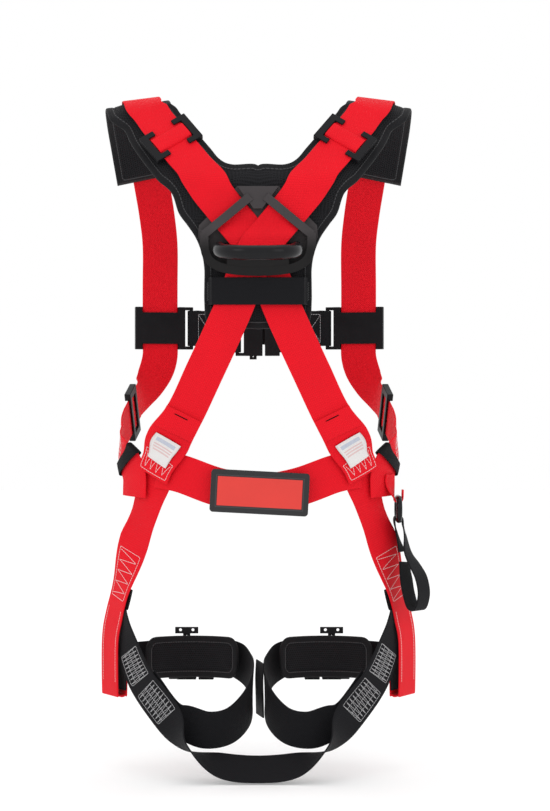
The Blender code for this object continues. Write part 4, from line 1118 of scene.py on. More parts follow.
def stitching(name, face, lines, body, finish, slot, pitch=STITCH_PITCH, radius=STITCH_RADIUS):
    """Short thread tubes end to end along lines on a strap: four small rings carried along each."""
    starts = []
    ends = []
    for line in lines:
        reach = run(line)
        first = np.arange(0, reach[-1] - 0.5 * pitch, pitch)
        for found, t in ((starts, first), (ends, first + 0.84 * pitch)):
            found.append(np.stack([np.interp(t, reach, line[:, axis]) for axis in (0, 1)], axis=1))
    starts = np.concatenate(starts)[:, None]
    ends = np.concatenate(ends)[:, None]
    share = np.array((0.0, 0.18, 0.82, 1.0))[None, :, None]
    place = starts + (ends - starts) * share
    point, normal = face.at(place[..., 0], place[..., 1])
    tangent = unit(np.repeat(point[:, -1:] - point[:, :1], 4, axis=1))
    side = np.cross(tangent, normal)
    size = radius * np.array((0.45, 1.0, 1.0, 0.45))[None, :, None, None]
    lift = radius * np.array((-0.3, 0.35, 0.35, -0.3))[None, :, None]
    turn = np.arange(STITCH_SIDES) * 2 * math.pi / STITCH_SIDES
    ring = side[:, :, None] * np.cos(turn)[:, None] + normal[:, :, None] * np.sin(turn)[:, None]
    points = (point + normal * lift)[:, :, None] + ring * size
    first = 4 * STITCH_SIDES * np.arange(len(points))
    quads = (grid_quads(4, STITCH_SIDES, True)[None] + first[:, None, None]).reshape(-1, 4)
    rings = np.arange(STITCH_SIDES)[None, :] + first[:, None]
    caps = np.concatenate([rings, rings + 3 * STITCH_SIDES]).tolist()
    made = put_mesh(name, points.reshape(-1, 3), quads, finish, caps)
    return settle(made, body, slot)


# Pads and panels


def panel_rings(width, height, corner, insets, long_steps, short_steps):
    """Rounded rectangles inside each other: the outline drawn at each inset from the edge."""
    turn = np.linspace(0, 0.5 * math.pi, 7)
    rings = []
    for inset in insets:
        radius = max(corner - inset, 0.0)
        u = width / 2 - inset - radius
        v = height / 2 - inset - radius
        arc = radius * np.stack([np.cos(turn), np.sin(turn)], axis=1)
        right = arc + (u, v)
        line = np.linspace(u, -u, long_steps + 1)[1:-1]
        top = np.stack([line, np.full_like(line, v + radius)], axis=1)
        left = arc[::-1] * (-1, 1) + (-u, v)
        line = np.linspace(v, -v, short_steps + 1)[1:-1]
        down = np.stack([np.full_like(line, -u - radius), line], axis=1)
        half = np.concatenate([right, top, left, down])
        rings.append(np.concatenate([half, -half]))
    return np.array(rings)


def tape_rise(edge, half):
    """Half height of a rounded edge: a quarter circle that ends at half."""
    t = np.clip(1 - edge / half, 0, 1)
    return half * np.sqrt(1 - t * t)


def pad_heights(edge, tape, tape_thick, thick, crown):
    """Lower and upper face of a bound pad: a rounded tape, a step down at the seam, then a crown."""
    half = tape_thick / 2
    rise = tape_rise(edge, half)
    dip = smoothstep(tape - 1.2 * MM, tape, edge) * (1 - smoothstep(tape, tape + 3 * MM, edge))
    foam = (thick - tape_thick) * smoothstep(tape, tape + crown, edge)
    return half - rise, half + rise + foam - 0.9 * MM * dip


def puff(made, held, pressure, cap):
    """Cloth pressed out from inside for a few frames with the held points pinned, then capped."""
    scene = bpy.context.scene
    group = made.vertex_groups.new(name="held")
    group.add(np.nonzero(held)[0].tolist(), 1.0, "REPLACE")
    cloth = made.modifiers.new("press", "CLOTH")
    cloth.settings.vertex_group_mass = "held"
    cloth.settings.use_pressure = True
    cloth.settings.uniform_pressure_force = pressure
    cloth.settings.effector_weights.gravity = 0
    cloth.settings.quality = 6
    cloth.point_cache.frame_end = PRESS_FRAMES
    for number in range(1, PRESS_FRAMES + 1):
        scene.frame_set(number)
    pressed = made.evaluated_get(bpy.context.evaluated_depsgraph_get())
    rest = np.empty(3 * len(made.data.vertices), np.float32)
    moved = np.empty_like(rest)
    made.data.vertices.foreach_get("co", rest)
    pressed.data.vertices.foreach_get("co", moved)
    made.modifiers.remove(cloth)
    made.vertex_groups.remove(group)
    scene.frame_set(1)
    push = (moved - rest).reshape(-1, 3)
    far = np.linalg.norm(push, axis=1, keepdims=True)
    push *= np.minimum(1.0, cap / np.maximum(far, 1e-9))
    made.data.vertices.foreach_set("co", rest + push.ravel())
    made.data.update()


def cushion(name, node, points, quads, uv, edge, look, cap):
    """Bound pad: its skins are welded, and its foam is pressed out inside the tape."""
    cloth = finish_of("padding", padded_finish, look)
    made = put_mesh(name, points, quads, cloth, uv=uv, values={"edge": edge})
    weld(made)
    kept = np.empty(len(made.data.vertices), np.float32)
    made.data.attributes["edge"].data.foreach_get("value", kept)
    puff(made, kept < look.binding_width + 1 * MM, look.pressure, cap)
    settle(made, BODY_OF[node], "padding", node)


def edge_distance(points, line):
    """Distance of each point to the nearest segment of a boundary line."""
    start = line[:-1]
    way = line[1:] - start
    size = np.maximum((way**2).sum(1), 1e-12)
    gap = points[:, None] - start[None]
    t = np.clip((gap * way[None]).sum(2) / size, 0, 1)
    return np.linalg.norm(gap - t[..., None] * way[None], axis=2).min(1)


def yoke_grid():
    """Half yoke, from its bottom to the front of the shoulder: a base grid and its outward directions.

    Each row is a straight line from the inner edge to the outer edge. The edges are smooth curves
    through the panel's rows and the rows beside the shoulder strap, laid on the torso.
    """
    ends = np.array(YOKE_PANEL, float) * MM
    lean, slope = torso_lean(ends[..., 1])
    edges = np.stack([ends[..., 0], lean - CHEST[1], ends[..., 1]], axis=-1)
    ways = np.stack([0 * slope, 0 * slope - 1, slope], axis=-1).mean(1)
    over = list(reversed(padded_rows()))
    centre, _, across, normal, _ = stations(over, 1)
    half = WEB_WIDTH / 2
    inner = np.concatenate([edges[:, 0], centre + across * (half + PAD_INNER_MARGIN)])
    outer = np.concatenate([edges[:, 1], centre - across * (half + PAD_OUTER_MARGIN)])
    middle = np.concatenate([edges.mean(1), centre])
    rows = spline(np.hstack([inner, outer, middle, np.concatenate([ways, normal])]), YOKE_STEPS)
    inner, outer, middle, ways = np.split(rows, 4, axis=1)
    inner[:, 0] = np.maximum(inner[:, 0], 0)
    share = np.linspace(0, 1, YOKE_COLUMNS)
    share = (share - np.sin(2 * math.pi * share) / (2 * math.pi) * 0.6)[None, :, None]
    flat = inner[:, None] * (1 - share) + outer[:, None] * share
    hug = hugs_torso(middle)[:, None, None]

    def lifted(height):
        """Grid at a height above the torso, or above its own frame where it leaves the torso."""
        free = flat + unit(ways)[:, None] * height
        return hug * on_torso(flat, np.full(flat.shape[:2], height)) + (1 - hug) * free

    base = lifted(0.0)
    return base, unit(lifted(PAD_THICK) - base)


# Copies of the frame's rigid nodes


def fitting(node, finish, slot, edge, segments=3):
    """Copy of a rigid node with its flats joined and its edges rounded by a Bevel."""
    mesh = frame["nodes"][node].data.copy()
    work = bmesh.new()
    work.from_mesh(mesh)
    bmesh.ops.remove_doubles(work, verts=work.verts, dist=0.01 * MM)
    bmesh.ops.dissolve_limit(
        work, angle_limit=FLAT_ANGLE, verts=work.verts, edges=work.edges, use_dissolve_boundaries=False)
    work.to_mesh(mesh)
    work.free()
    mesh.materials.clear()
    mesh.materials.append(finish)
    mesh.shade_smooth()
    mesh.set_sharp_from_angle(angle=SHARP_ANGLE)
    made = bpy.data.objects.new(f"{node}_body", mesh)
    bpy.context.scene.collection.objects.link(made)
    bevel = made.modifiers.new("edge", "BEVEL")
    bevel.width = edge
    bevel.segments = segments
    bevel.limit_method = "ANGLE"
    bevel.angle_limit = BEVEL_ANGLE
    bevel.use_clamp_overlap = True
    bevel.harden_normals = True
    return settle(made, BODY_OF[node], slot, node)


def rod(name, node, centre, plane_normal, radii, sides, finish, slot, tall=1.0):
    """Oval bar carried along a closed line in a plane: its radius at each point, tall times as high."""
    tangent = unit(np.roll(centre, -1, axis=0) - np.roll(centre, 1, axis=0))
    side = unit(np.cross(plane_normal, tangent))
    rise = np.cross(tangent, side) * np.reshape(tall, (-1, 1))
    turn = np.arange(sides) * 2 * math.pi / sides
    ring = side[:, None] * np.cos(turn)[None, :, None] + rise[:, None] * np.sin(turn)[None, :, None]
    points = centre[:, None] + ring * radii[:, None, None]
    points = np.concatenate([points, points[:1]])
    made = put_mesh(name, points.reshape(-1, 3), grid_quads(*points.shape[:2], True), finish)
    weld(made)
    return settle(made, BODY_OF[node], slot, node)


# Operators


class HARNESS_OT_shoulder_straps(bpy.types.Operator):
    """Red shoulder straps that cross on the back, their glide folds, tabs and stitching."""

    bl_idname = "harness.shoulder_straps"
    bl_label = "Shoulder Straps"

    def execute(self, context):
        look = context.scene.harness_webbing
        cloth = red_cloth(look)
        thread = light_thread(look)
        point, along, normal = strap_point(SHOULDER_TAB_STATION)
        aside = along.cross(normal)
        tab = [row(point + aside * d * MM, normal, ON_PAD + GAP) for d in (-12, 0, 12, 24, 36)]
        for name, side in SIDES.items():
            over = LAYER + GAP if side > 0 else 0.0
            route = mirrored([lower_back_row(145.5, -80, 2 * LAYER), *shoulder_route()], side)
            face = webbing(
                f"shoulder_webbing_{name}", f"shoulder_strap_{name}", route, cloth, "webbing_red",
                bump=True, over=over)
            end = face.length()
            low, high = map(face.at_height, SHOULDER_BOX)
            lines = [
                box_line(end - 27 * MM, end - 3 * MM, STITCH_REACH + 2 * MM),
                crosswise(end - 24 * MM, end - 6 * MM, STITCH_REACH, 4),
                box_line(low, high, STITCH_REACH + 1 * MM),
                crosswise(low, high, STITCH_REACH, 5),
            ]
            stitching(f"shoulder_thread_{name}", face, lines, "webbing", thread, "webbing_red")
            webbing(
                f"shoulder_tab_webbing_{name}", f"shoulder_tab_{name}", mirrored(tab, side),
                black_cloth(look), "webbing_black", SHOULDER_TAB_WIDTH)
            self.fold(name, side, cloth)
        return {"FINISHED"}

    def fold(self, name, side, cloth):
        """Webbing rolled over a glide's middle bar: a low arch along the strap, as wide as the strap."""
        point, along, normal = strap_point(GLIDE_STATION)
        across = np.array(normal.cross(along))
        point, along, normal = (np.array(way) for way in (point, along, normal))
        flip = np.array((side, 1, 1))
        u = np.linspace(-1, 1, 25)
        v = np.linspace(-FOLD_HALF_WIDTH, FOLD_HALF_WIDTH, 15)
        arch = FOLD_RISE * (1 - u**4) ** 0.5
        low = WEB_THICK / 2 + 0.15 * MM
        grid = point + along * (FOLD_HALF_LENGTH * u)[:, None, None] + across * v[None, :, None]
        top = grid + normal * (low + 0.2 * MM + arch)[:, None, None]
        bottom = grid + normal * low
        loop = np.concatenate([top, bottom[:, ::-1]], axis=1) * flip
        rows, columns = loop.shape[:2]
        offsets = np.concatenate([v, v[::-1]])
        bend = run(np.stack([FOLD_HALF_LENGTH * u, arch], axis=1))
        uv = np.stack([np.repeat(bend, columns), np.tile(offsets, rows)], axis=1)
        values = {"margin": WEB_WIDTH / 2 - np.abs(uv[:, 1])}
        made = put_mesh(
            f"glide_fold_{name}", loop.reshape(-1, 3), grid_quads(rows, columns, True), cloth,
            end_caps(rows, columns), uv, values)
        settle(made, f"shoulder_glide_{name}", "webbing_red")


class HARNESS_OT_hip_straps(bpy.types.Operator):
    """Red hip straps, the folds and labels on them, and the waist strap between them."""

    bl_idname = "harness.hip_straps"
    bl_label = "Hip and Waist Straps"

    def execute(self, context):
        look = context.scene.harness_webbing
        cloth = red_cloth(look)
        thread = light_thread(look)
        # Near-black thread without sheen, used for the painted shadow in each fold's slit.
        painted_shade = finish_of("thread_dark", thread_finish, (0.004, 0.001, 0.001), 0.05)
        label_cloth = finish_of("woven_label", label_finish, context.scene.harness_labels)
        fold = [lower_back_row(85.5, 19, 4 * LAYER + 0.6 * MM)]
        fold += [lower_back_row(x, z, 4 * LAYER) for x, z in ((88, 14), (92, 6), (97, -4))]
        sewn = ((100.5, -11), (107, -24), (114, -38))
        label = [lower_back_row(x, z, 4 * LAYER + GAP) for x, z in sewn]
        for name, side in SIDES.items():
            face = webbing(
                f"hip_webbing_{name}", f"hip_strap_{name}", mirrored(hip_route(), side), cloth,
                "webbing_red")
            top, low = map(face.at_height, HIP_BOX)
            lines = [box_line(top, low, STITCH_REACH)]
            lines += [zigzag(top + 3 * MM, low - 3 * MM, STITCH_REACH - 2 * MM, 4)]
            top, low = map(face.at_height, HIP_LINES)
            lines += [straight(top, v, low, v) for v in (-STITCH_REACH, STITCH_REACH)]
            stitching(f"hip_thread_{name}", face, lines, "webbing", thread, "webbing_red")
            face = webbing(
                f"hip_fold_{name}", f"hip_overlay_{name}", mirrored(fold, side), cloth, "webbing_red")
            # Painted shadow: a thick dark thread tube across the fold near its lifted top end, where the
            # slit's gap lies in shade.
            slit = [straight(5 * MM, -10 * MM, 5 * MM, 10.5 * MM)]
            stitching(
                f"hip_slit_painted_shadow_{name}", face, slit, "webbing", painted_shade, "webbing_black", 20 * MM, 0.8 * MM)
            face = webbing(
                f"hip_label_cloth_{name}", f"hip_label_{name}", mirrored(label, side), label_cloth, "label",
                HIP_LABEL_WIDTH, HIP_LABEL_THICK)
            lines = [box_line(1.5 * MM, face.length() - 1.5 * MM, 12.5 * MM)]
            stitching(
                f"hip_label_thread_{name}", face, lines, "webbing", thread, "label", 2.4 * MM, 0.25 * MM)
        droop = ((117, -46), (88, -52), (45, -67), (0, -74))
        half = [lower_back_row(x, z, LAYER + GAP) for x, z in droop]
        webbing("waist_webbing", "waist_strap", both_halves(half), cloth, "webbing_red", steps=14)
        return {"FINISHED"}


class HARNESS_OT_leg_straps(bpy.types.Operator):
    """Black seat and leg straps with their long stitched joints."""

    bl_idname = "harness.leg_straps"
    bl_label = "Seat and Leg Straps"

    def execute(self, context):
        look = context.scene.harness_webbing
        cloth = black_cloth(look)
        thread = grey_thread(look)
        face = webbing(
            "seat_webbing", "seat_strap", both_halves(seat_half_route()), cloth, "webbing_black", steps=12,
            hug=False)
        lines = []
        for last in (False, True):
            for box in SEAT_BOXES:
                start, end = (face.at_height(z, last) for z in box)
                lines += [box_line(start, end, STITCH_REACH), zigzag(start, end, STITCH_REACH - 1 * MM, 8)]
                lines += [straight(start, v * MM, end, v * MM) for v in (-9, 0, 9)]
        stitching("seat_thread", face, lines, "webbing", thread, "webbing_black")
        webbing("leg_tail_webbing", "leg_tail_right", LEG_TAIL, cloth, "webbing_black", hug=False)
        bar = (LEG_BUCKLE[0] + RECEIVER_BAR, LEG_BUCKLE[1], LEG_BUCKLE[2])
        front = loop_rows(bar, (0.85, -0.52, 0), (0.52, 0.85, 0), LEG_TAIL_SEWN) + LEG_FRONT
        for name, side in SIDES.items():
            webbing(
                f"leg_webbing_rear_{name}", f"leg_strap_rear_{name}", mirrored(rear_leg_route(), side),
                cloth, "webbing_black", hug=False)
            face = webbing(
                f"leg_webbing_front_{name}", f"leg_strap_front_{name}", mirrored(front, side), cloth,
                "webbing_black", hug=False)
            start = face.length() * 0.3
            lines = [box_line(start, start + 18 * MM, STITCH_REACH)]
            stitching(f"leg_thread_{name}", face, lines, "webbing", thread, "webbing_black")
        return {"FINISHED"}


class HARNESS_OT_chest_straps(bpy.types.Operator):
    """Black chest straps with a crossed box of stitches beside each slider."""

    bl_idname = "harness.chest_straps"
    bl_label = "Chest Straps"

    def execute(self, context):
        look = context.scene.harness_webbing
        cloth = black_cloth(look)
        thread = grey_thread(look)
        bars = {}
        for name, side in SIDES.items():
            normal = unit(np.array((side * FRONT_NORMAL[0], FRONT_NORMAL[1], 0)))
            across = np.array((normal[1], -normal[0], 0))
            spot = np.array((side * FRONT_X * MM, FRONT_Y * MM, SLIDER_Z)) + normal * WEB_THICK / 2
            bars[name] = spot - across * side * SLIDER_BAR
        centre = np.array(CHEST_BUCKLE)
        left = loop_rows(bars["left"], (1, 0.05, 0), (-0.05, 1, 0), CHEST_TAIL)
        left_end = loop_rows(centre - (RECEIVER_BAR, 0, 0), (-1, -0.05, 0), (-0.05, 1, 0), RECEIVER_TAIL)
        right = loop_rows(bars["right"], (-1, 0.05, 0), (0.05, 1, 0), CHEST_TAIL)[:-1]
        strap_y = centre[1] - TONGUE_STRAP_DEPTH
        right += [row((x * MM, strap_y, centre[2]), (0, 1, 0)) for x in (50, 44, 27, 11)]
        for name, route in (("left", left[:-1] + left_end[:-1][::-1]), ("right", right)):
            face = webbing(
                f"chest_webbing_{name}", f"chest_strap_{name}", route, cloth, "webbing_black", hug=False,
                upright=True)
            low = 2.5 * MM
            high = CHEST_TAIL - 8 * MM
            reach = STITCH_REACH + 1 * MM
            lines = [box_line(low, high, reach)]
            lines += [straight(low, -v, high, v) for v in (reach, -reach)]
            stitching(f"chest_thread_{name}", face, lines, "chest", thread, "webbing_black")
        return {"FINISHED"}


class HARNESS_OT_yoke(bpy.types.Operator):
    """Padded yoke with a bound edge, and the band that keeps both straps on it."""

    bl_idname = "harness.yoke"
    bl_label = "Yoke"

    def execute(self, context):
        look = context.scene.harness_padding
        base, out = yoke_grid()
        rows, columns = base.shape[:2]
        neck = YOKE_STEPS * (len(YOKE_PANEL) - 2)
        line = np.concatenate([base[0], base[:, -1], base[-1, ::-1], base[neck:, 0][::-1]])
        flat = base.reshape(-1, 3)
        way = out.reshape(-1, 3)
        edge = edge_distance(flat, line)
        low, high = pad_heights(edge, look.binding_width, YOKE_TAPE_THICK, PAD_THICK - 0.9 * MM, 17 * MM)
        lower = flat + way * low[:, None]
        upper = flat + way * high[:, None]
        flip = np.array((-1, 1, 1))
        points = np.concatenate([upper, upper * flip, lower, lower * flip])
        right = grid_quads(rows, columns, False)
        left = right[:, ::-1]
        count = rows * columns
        quads = np.concatenate([right, left + count, left + 2 * count, right + 3 * count])
        widths = np.cumsum(np.linalg.norm(np.diff(base, axis=1), axis=2), axis=1)
        across = np.hstack([np.zeros((rows, 1)), widths])
        uv = np.stack([np.repeat(run(base.mean(1)), columns), across.ravel()], axis=1)
        cushion(
            "yoke_cushion", "yoke_pad", points, quads, np.tile(uv, (4, 1)), np.tile(edge, 4), look,
            1.2 * MM)
        self.band(context.scene.harness_webbing)
        return {"FINISHED"}

    def band(self, look):
        """Keeper band: straight over both straps, then down to the pad on each side."""
        xs = np.linspace(-BAND_HALF_WIDTH, BAND_HALF_WIDTH, 81)
        top = ON_PLATE + 2 * LAYER + 2 * GAP
        drop = smoothstep(BAND_OVER - 1 * MM, BAND_OVER + 4 * MM, np.abs(xs))
        heights = top + (ON_PAD - top) * drop
        route = [row((x, -CHEST[1], BAND_Z), BACK, height) for x, height in zip(xs, heights)]
        face = webbing(
            "keeper_webbing", "keeper_band", route, black_cloth(look), "webbing_black", BAND_HEIGHT,
            steps=1)
        thread = finish_of("thread_black", thread_finish, (0.03, 0.03, 0.032))
        starts = (1.5 * MM, face.length() - 4.5 * MM)
        lines = [crosswise(start, start + 3 * MM, 11 * MM, 8) for start in starts]
        stitching("keeper_thread", face, lines, "webbing", thread, "webbing_black")


class HARNESS_OT_leg_pads(bpy.types.Operator):
    """Curved thigh pads with bound edges."""

    bl_idname = "harness.leg_pads"
    bl_label = "Leg Pads"

    def execute(self, context):
        look = context.scene.harness_padding
        width = 2 * LEG_PAD_HALF_ANGLE * THIGH_RADIUS
        half = LEG_PAD_HEIGHT / 2
        tape = look.binding_width
        insets = np.concatenate([
            np.array((0, 0.25, 0.7, 1.3, 2.0, 3.2, 5.0, 6.8, 8.2)) * MM,
            tape + np.array((-0.6, 0, 1.0, 2.0, 3.4, 5.2, 7.5, 10)) * MM, (half - 3 * MM, half)])
        rings = panel_rings(width, LEG_PAD_HEIGHT, LEG_PAD_CORNER, insets, 36, 8)
        u, v = np.moveaxis(rings.reshape(-1, 2), 1, 0)
        edge = np.repeat(insets, rings.shape[1])
        low, high = pad_heights(edge, tape, LEG_TAPE_THICK, LEG_PAD_THICK - 0.8 * MM, 12 * MM)
        angle = u / THIGH_RADIUS
        uv = np.tile(np.stack([u, v], axis=1), (2, 1))
        for name, side in SIDES.items():
            skins = []
            for height in (LEG_PAD_THICK - low, LEG_PAD_THICK - high):
                radius = THIGH_RADIUS - LEG_PAD_THICK + height
                x = THIGH_X + radius * np.sin(angle)
                y = THIGH_Y + radius * np.cos(angle)
                skins.append(np.stack([side * x, y, LEG_PAD_Z + v], axis=1))
            cushion(
                f"leg_cushion_{name}", f"leg_pad_{name}", np.concatenate(skins),
                two_skins(*rings.shape[:2]), uv, np.tile(edge, 2), look, 1.0 * MM)
        return {"FINISHED"}


class HARNESS_OT_back_plate(bpy.types.Operator):
    """Moulded plate at the crossing and the ring that swings on its bar."""

    bl_idname = "harness.back_plate"
    bl_label = "Back Plate and Ring"

    def execute(self, context):
        look = context.scene.harness_fittings
        plastic = finish_of("plastic", plate_finish, look.plate)
        fitting("dorsal_plate", plastic, "plastic", 1.1 * look.edge)
        bar_end = RING_HALF_WIDTH - RING_CORNER
        rim = RING_HALF_WIDTH - RING_FLAT / 2
        bend = np.linspace(-0.5 * math.pi, 0, 12)
        turn = np.linspace(0, 0.5 * math.pi, 32)
        x = np.concatenate([np.linspace(0, bar_end, 12)[:-1], bar_end + RING_CORNER * np.cos(bend)])
        depth = np.concatenate([np.zeros(11), RING_CORNER + RING_CORNER * np.sin(bend)])
        sides = np.linspace(RING_CORNER, RING_DEPTH - rim, 8)[1:-1]
        flat = np.linspace(RING_FLAT / 2, 0, 6)[1:]
        x = np.concatenate([x, np.full(6, RING_HALF_WIDTH), RING_FLAT / 2 + rim * np.cos(turn), flat])
        depth = np.concatenate([
            depth, sides, RING_DEPTH - rim + rim * np.sin(turn), np.full(5, RING_DEPTH)])
        x = np.concatenate([x, -x[-2:0:-1]])
        depth = np.concatenate([depth, depth[-2:0:-1]])
        origin = np.array((0, -CHEST[1] - BAR_HEIGHT, BAR_Z))
        out = np.array((0, -math.cos(RING_DROOP), -math.sin(RING_DROOP)))
        centre = origin + x[:, None] * np.array((1, 0, 0)) + depth[:, None] * out
        growth = smoothstep(0.6 * RING_CORNER, 2.6 * RING_CORNER, depth)
        radii = RING_SHRINK * (BAR_RADIUS + (RING_ROD - BAR_RADIUS) * growth)
        tall = 1 + (RING_TALL - 1) * growth
        rod(
            "dorsal_ring_rod", "dorsal_ring", centre, np.cross((1, 0, 0), out), radii, 28,
            glossy_coat(look), "coated_metal", tall)
        return {"FINISHED"}


class HARNESS_OT_fittings(bpy.types.Operator):
    """Coated glides, adjusters, sliders and buckles, the elastic keepers and the springs."""

    bl_idname = "harness.fittings"
    bl_label = "Fittings"

    def execute(self, context):
        look = context.scene.harness_fittings
        coat = finish_of("coated_metal", coated, look.coat, 0.42, 0.0)
        pairs = (
            "shoulder_glide", "torso_adjuster", "chest_slider", "leg_receiver", "leg_tongue", "leg_release")
        names = [f"{part}_{side}" for side in SIDES for part in pairs]
        names += ["chest_receiver", "chest_tongue", "chest_release_upper", "chest_release_lower"]
        for node in names:
            fitting(node, coat, "coated_metal", look.edge)
        webbing_look = context.scene.harness_webbing
        elastic = finish_of("elastic", woven, (0.006, 0.006, 0.007), webbing_look, 0.1)
        for name, side in SIDES.items():
            self.keeper(name, mirrored(shoulder_route(), side), elastic)
        wire = finish_of("spring_wire", steel)
        for node in ("chest_spring_upper", "chest_spring_lower", "leg_spring_left", "leg_spring_right"):
            materials = frame["nodes"][node].data.materials
            materials.clear()
            materials.append(wire)
        return {"FINISHED"}

    def keeper(self, name, route, finish):
        """Elastic ring round a strap: two band outlines, one in the other, carried along 16 mm of it."""
        middle = KEEPER_ROW * KEEPER_STEPS
        near = slice(middle - KEEPER_REACH, middle + KEEPER_REACH + 1)
        skins = []
        for room in KEEPER_SKINS:
            offsets, lifts = band_outline(WEB_WIDTH + 2 * room, WEB_THICK + 2 * room)
            skins.append(strap_grid(route, offsets, lifts - room, KEEPER_STEPS)[near])
        inner, outer = skins
        edge = 0.5 * (inner + outer)
        rings = np.concatenate([edge[:1], outer, edge[-1:], inner[::-1], edge[:1]])
        rows, columns = rings.shape[:2]
        uv = np.stack([np.repeat(run(rings[:, 5]), columns), np.tile(offsets, rows)], axis=1)
        values = {"margin": np.full(rows * columns, 9 * MM)}
        made = put_mesh(
            f"keeper_elastic_{name}", rings.reshape(-1, 3), grid_quads(rows, columns, True), finish, (), uv,
            values)
        weld(made)
        settle(made, f"torso_keeper_{name}", "webbing_black", f"torso_keeper_{name}")


class HARNESS_OT_pouch(bpy.types.Operator):
    """Label pouch: a bound back, loose pages and a bound cover with a plain panel."""

    bl_idname = "harness.pouch"
    bl_label = "Label Pouch"

    def execute(self, context):
        look = context.scene.harness_labels
        webbing_look = context.scene.harness_webbing
        black = finish_of("pouch_back_cloth", woven, (0.008, 0.008, 0.009), webbing_look, 0.12)
        panel = finish_of("pouch_panel", pouch_finish, look)
        cover = 3 * (POUCH_SHEET + GAP)
        self.sheet("pouch_back", "label_pouch_back", 0.0, look.binding_width, black, "webbing_black")
        self.sheet("pouch_cover", "label_cover", cover, look.binding_width, panel, "pouch")
        fitting("label_pages", finish_of("pages", paper, look), "label", 0.3 * MM)
        return {"FINISHED"}

    def sheet(self, name, node, low, tape, finish, slot):
        """Flat sheet with a rounded tape round it: heights depend on the distance to the edge."""
        half = POUCH_SIZE[1] / 2
        insets = np.concatenate([
            np.array((0, 0.15, 0.4, 0.8, 1.2, 2.0, 4.0)) * MM,
            tape + np.array((-1.2, -0.4, 0, 0.6, 1.6, 4.0, 8.0)) * MM, (half,)])
        rings = panel_rings(*POUCH_SIZE, POUCH_CORNER, insets, 24, 10)
        u, v = np.moveaxis(rings.reshape(-1, 2), 1, 0)
        edge = np.repeat(insets, rings.shape[1])
        rise = tape_rise(edge, POUCH_SHEET / 2)
        dip = 0.5 * MM * smoothstep(tape - 1.0 * MM, tape, edge)
        swell = 0.35 * MM * smoothstep(tape, half, edge)
        x = POUCH_X + u * math.cos(POUCH_TILT) + v * math.sin(POUCH_TILT)
        z = POUCH_Z - u * math.sin(POUCH_TILT) + v * math.cos(POUCH_TILT)
        skins = []
        for height in (POUCH_SHEET / 2 - rise, POUCH_SHEET / 2 + rise - dip + swell):
            skins.append(np.stack([x, -HIPS[1] - 2 * LAYER - low - height, z], axis=1))
        uv = np.tile(np.stack([u, v], axis=1), (2, 1))
        values = {"edge": np.tile(edge, 2), "margin": np.tile(edge, 2)}
        made = put_mesh(
            name, np.concatenate(skins), two_skins(*rings.shape[:2]), finish, uv=uv, values=values)
        weld(made)
        settle(made, BODY_OF[node], slot, node)


class HARNESS_OT_accessory(bpy.types.Operator):
    """Red tab, oval ring and black loop at the right hip."""

    bl_idname = "harness.accessory"
    bl_label = "Accessory Loop"

    def execute(self, context):
        look = context.scene.harness_webbing
        pivot = np.array((ACCESSORY_X, ACCESSORY_Y, ACCESSORY_TOP))
        tab = []
        for z in (-54, -65):
            *point, nx, ny, nz, _ = lower_back_row(150, z, 0.0)
            normal = np.array((nx, ny, nz))
            tab.append(row(np.array(point) * MM + normal * (3 * LAYER + WEB_THICK), -normal))
        tab += turn_rows(pivot, -180, 0) + hanging_rows(pivot, ((4.2, 5, 1, 0), (4.4, 10, 1, 0)))
        webbing(
            "accessory_tab_webbing", "accessory_tab", tab, red_cloth(look), "webbing_red",
            ACCESSORY_TAB_WIDTH, hug=False)
        low = pivot - (0, 0, ACCESSORY_HEIGHT)
        loop = hanging_rows(low, ((5.5, -38, -1, 0.3), (0, -20, -1, 0.2), (-3.2, -7, -1, 0.1)))
        loop += turn_rows(low, 180, 0) + hanging_rows(low, ACCESSORY_LINE)
        face = webbing(
            "accessory_webbing", "accessory_loop", loop, black_cloth(look), "webbing_black",
            ACCESSORY_LOOP_WIDTH, hug=False)
        start = face.length() * 0.27
        lines = [crosswise(start, start + 10 * MM, 9 * MM, 5)]
        stitching("accessory_thread", face, lines, "accessory", grey_thread(look), "webbing_black")
        end = ACCESSORY_HEIGHT / 2
        turn = np.linspace(0.5 * math.pi, -0.5 * math.pi, 25)
        y = ACCESSORY_HALF_WIDTH - end + end * np.cos(turn)
        y = np.concatenate([y, -y])
        z = end * np.concatenate([np.sin(turn), -np.sin(turn)]) - end
        centre = pivot + np.stack([0 * y, y, z], axis=1)
        rod(
            "accessory_ring_rod", "accessory_ring", centre, np.array((1, 0, 0)),
            np.full(len(y), ACCESSORY_ROD), 20, glossy_coat(context.scene.harness_fittings), "coated_metal")
        return {"FINISHED"}


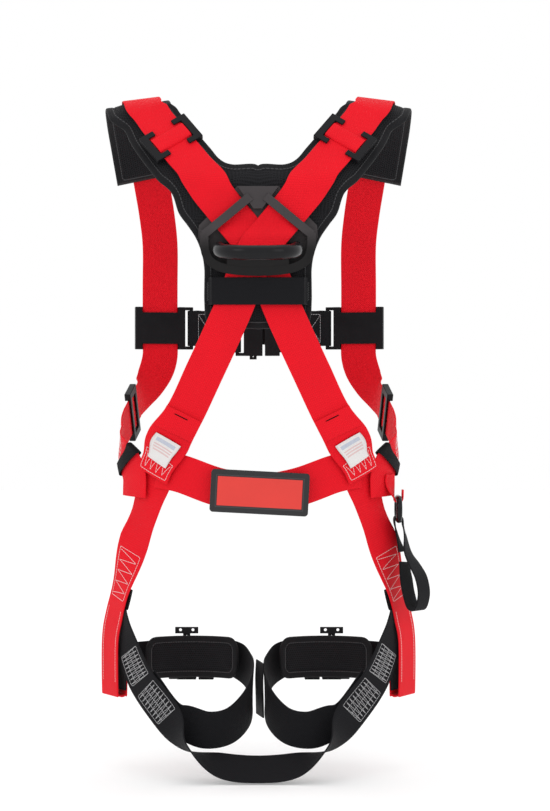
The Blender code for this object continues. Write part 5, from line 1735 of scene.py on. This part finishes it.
class HARNESS_OT_stage(bpy.types.Operator):
    """Pale floor, soft lights and the camera."""

    bl_idname = "harness.stage"
    bl_label = "Stage"

    def execute(self, context):
        scene = context.scene
        look = scene.harness_stage
        world = bpy.data.worlds.new("studio")
        world.use_nodes = True
        sky = world.node_tree.nodes["Background"]
        sky.inputs["Color"].default_value = (1, 1, 1, 1)
        sky.inputs["Strength"].default_value = look.light
        scene.world = world
        scene.view_settings.view_transform = "Standard"
        pale = Finish("floor_pale")
        grain = pale.noise(3.0, 2.0)
        pale.set(base_color=pale.mix(grain, shaded(look.floor, 0.985), look.floor), roughness=0.85)
        pale.set(emission_color=(1, 1, 1), emission_strength=look.glow)
        span = np.linspace(-FLOOR_REACH, FLOOR_REACH, FLOOR_LINES)
        x, y = np.meshgrid(span, span)
        under = FRAME_BOX[0][2] - 2 * MM
        points = np.stack([x, y, np.full_like(x, under)], axis=-1)
        quads = grid_quads(FLOOR_LINES, FLOOR_LINES, False)
        floor = put_mesh("floor", points.reshape(-1, 3), quads, pale.material)
        for name, place, size, power in LIGHTS:
            light = bpy.data.lights.new(name, "AREA")
            light.energy = look.key * power
            light.size = size
            lamp = bpy.data.objects.new(name, light)
            lamp.location = place
            lamp.rotation_euler = (-Vector(place)).to_track_quat("-Z", "Y").to_euler()
            scene.collection.objects.link(lamp)
        lens = bpy.data.cameras.new("photo_view")
        lens.lens = look.lens
        lens.clip_end = 60
        eye = bpy.data.objects.new("photo_view", lens)
        eye.location = CAMERA_PLACE
        eye.rotation_euler = (0.5 * math.pi, 0, 0)
        scene.collection.objects.link(eye)
        scene.camera = eye
        return {"FINISHED"}


GROUPS = (HarnessWebbing, HarnessPadding, HarnessFittings, HarnessLabels, HarnessStage)
PIECES = (
    HARNESS_OT_shoulder_straps, HARNESS_OT_hip_straps, HARNESS_OT_leg_straps, HARNESS_OT_chest_straps,
    HARNESS_OT_yoke, HARNESS_OT_leg_pads, HARNESS_OT_back_plate, HARNESS_OT_fittings, HARNESS_OT_pouch,
    HARNESS_OT_accessory, HARNESS_OT_stage,
)
LOOKS = ("harness_webbing", "harness_padding", "harness_fittings", "harness_labels", "harness_stage")


class HARNESS_PT_sidebar(bpy.types.Panel):
    """Looks and operators in the sidebar."""

    bl_label = "Harness"
    bl_idname = "HARNESS_PT_sidebar"
    bl_space_type = "VIEW_3D"
    bl_region_type = "UI"
    bl_category = "Harness"

    def draw(self, context):
        for name, group in zip(LOOKS, GROUPS):
            box = self.layout.box()
            for key in group.__annotations__:
                box.prop(getattr(context.scene, name), key)
        for piece in PIECES:
            self.layout.operator(piece.bl_idname)


def register():
    """Classes, and their settings on the scene."""
    for kind in (*GROUPS, *PIECES, HARNESS_PT_sidebar):
        bpy.utils.register_class(kind)
    for name, group in zip(LOOKS, GROUPS):
        setattr(bpy.types.Scene, name, PointerProperty(type=group))


def unregister():
    """Takes back what register set up."""
    for name in LOOKS:
        delattr(bpy.types.Scene, name)
    for kind in (HARNESS_PT_sidebar, *reversed(PIECES), *reversed(GROUPS)):
        bpy.utils.unregister_class(kind)


def main():
    """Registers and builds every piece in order."""
    register()
    for piece in PIECES:
        area, name = piece.bl_idname.split(".")
        getattr(getattr(bpy.ops, area), name)()


if __name__ == "__main__":
    main()
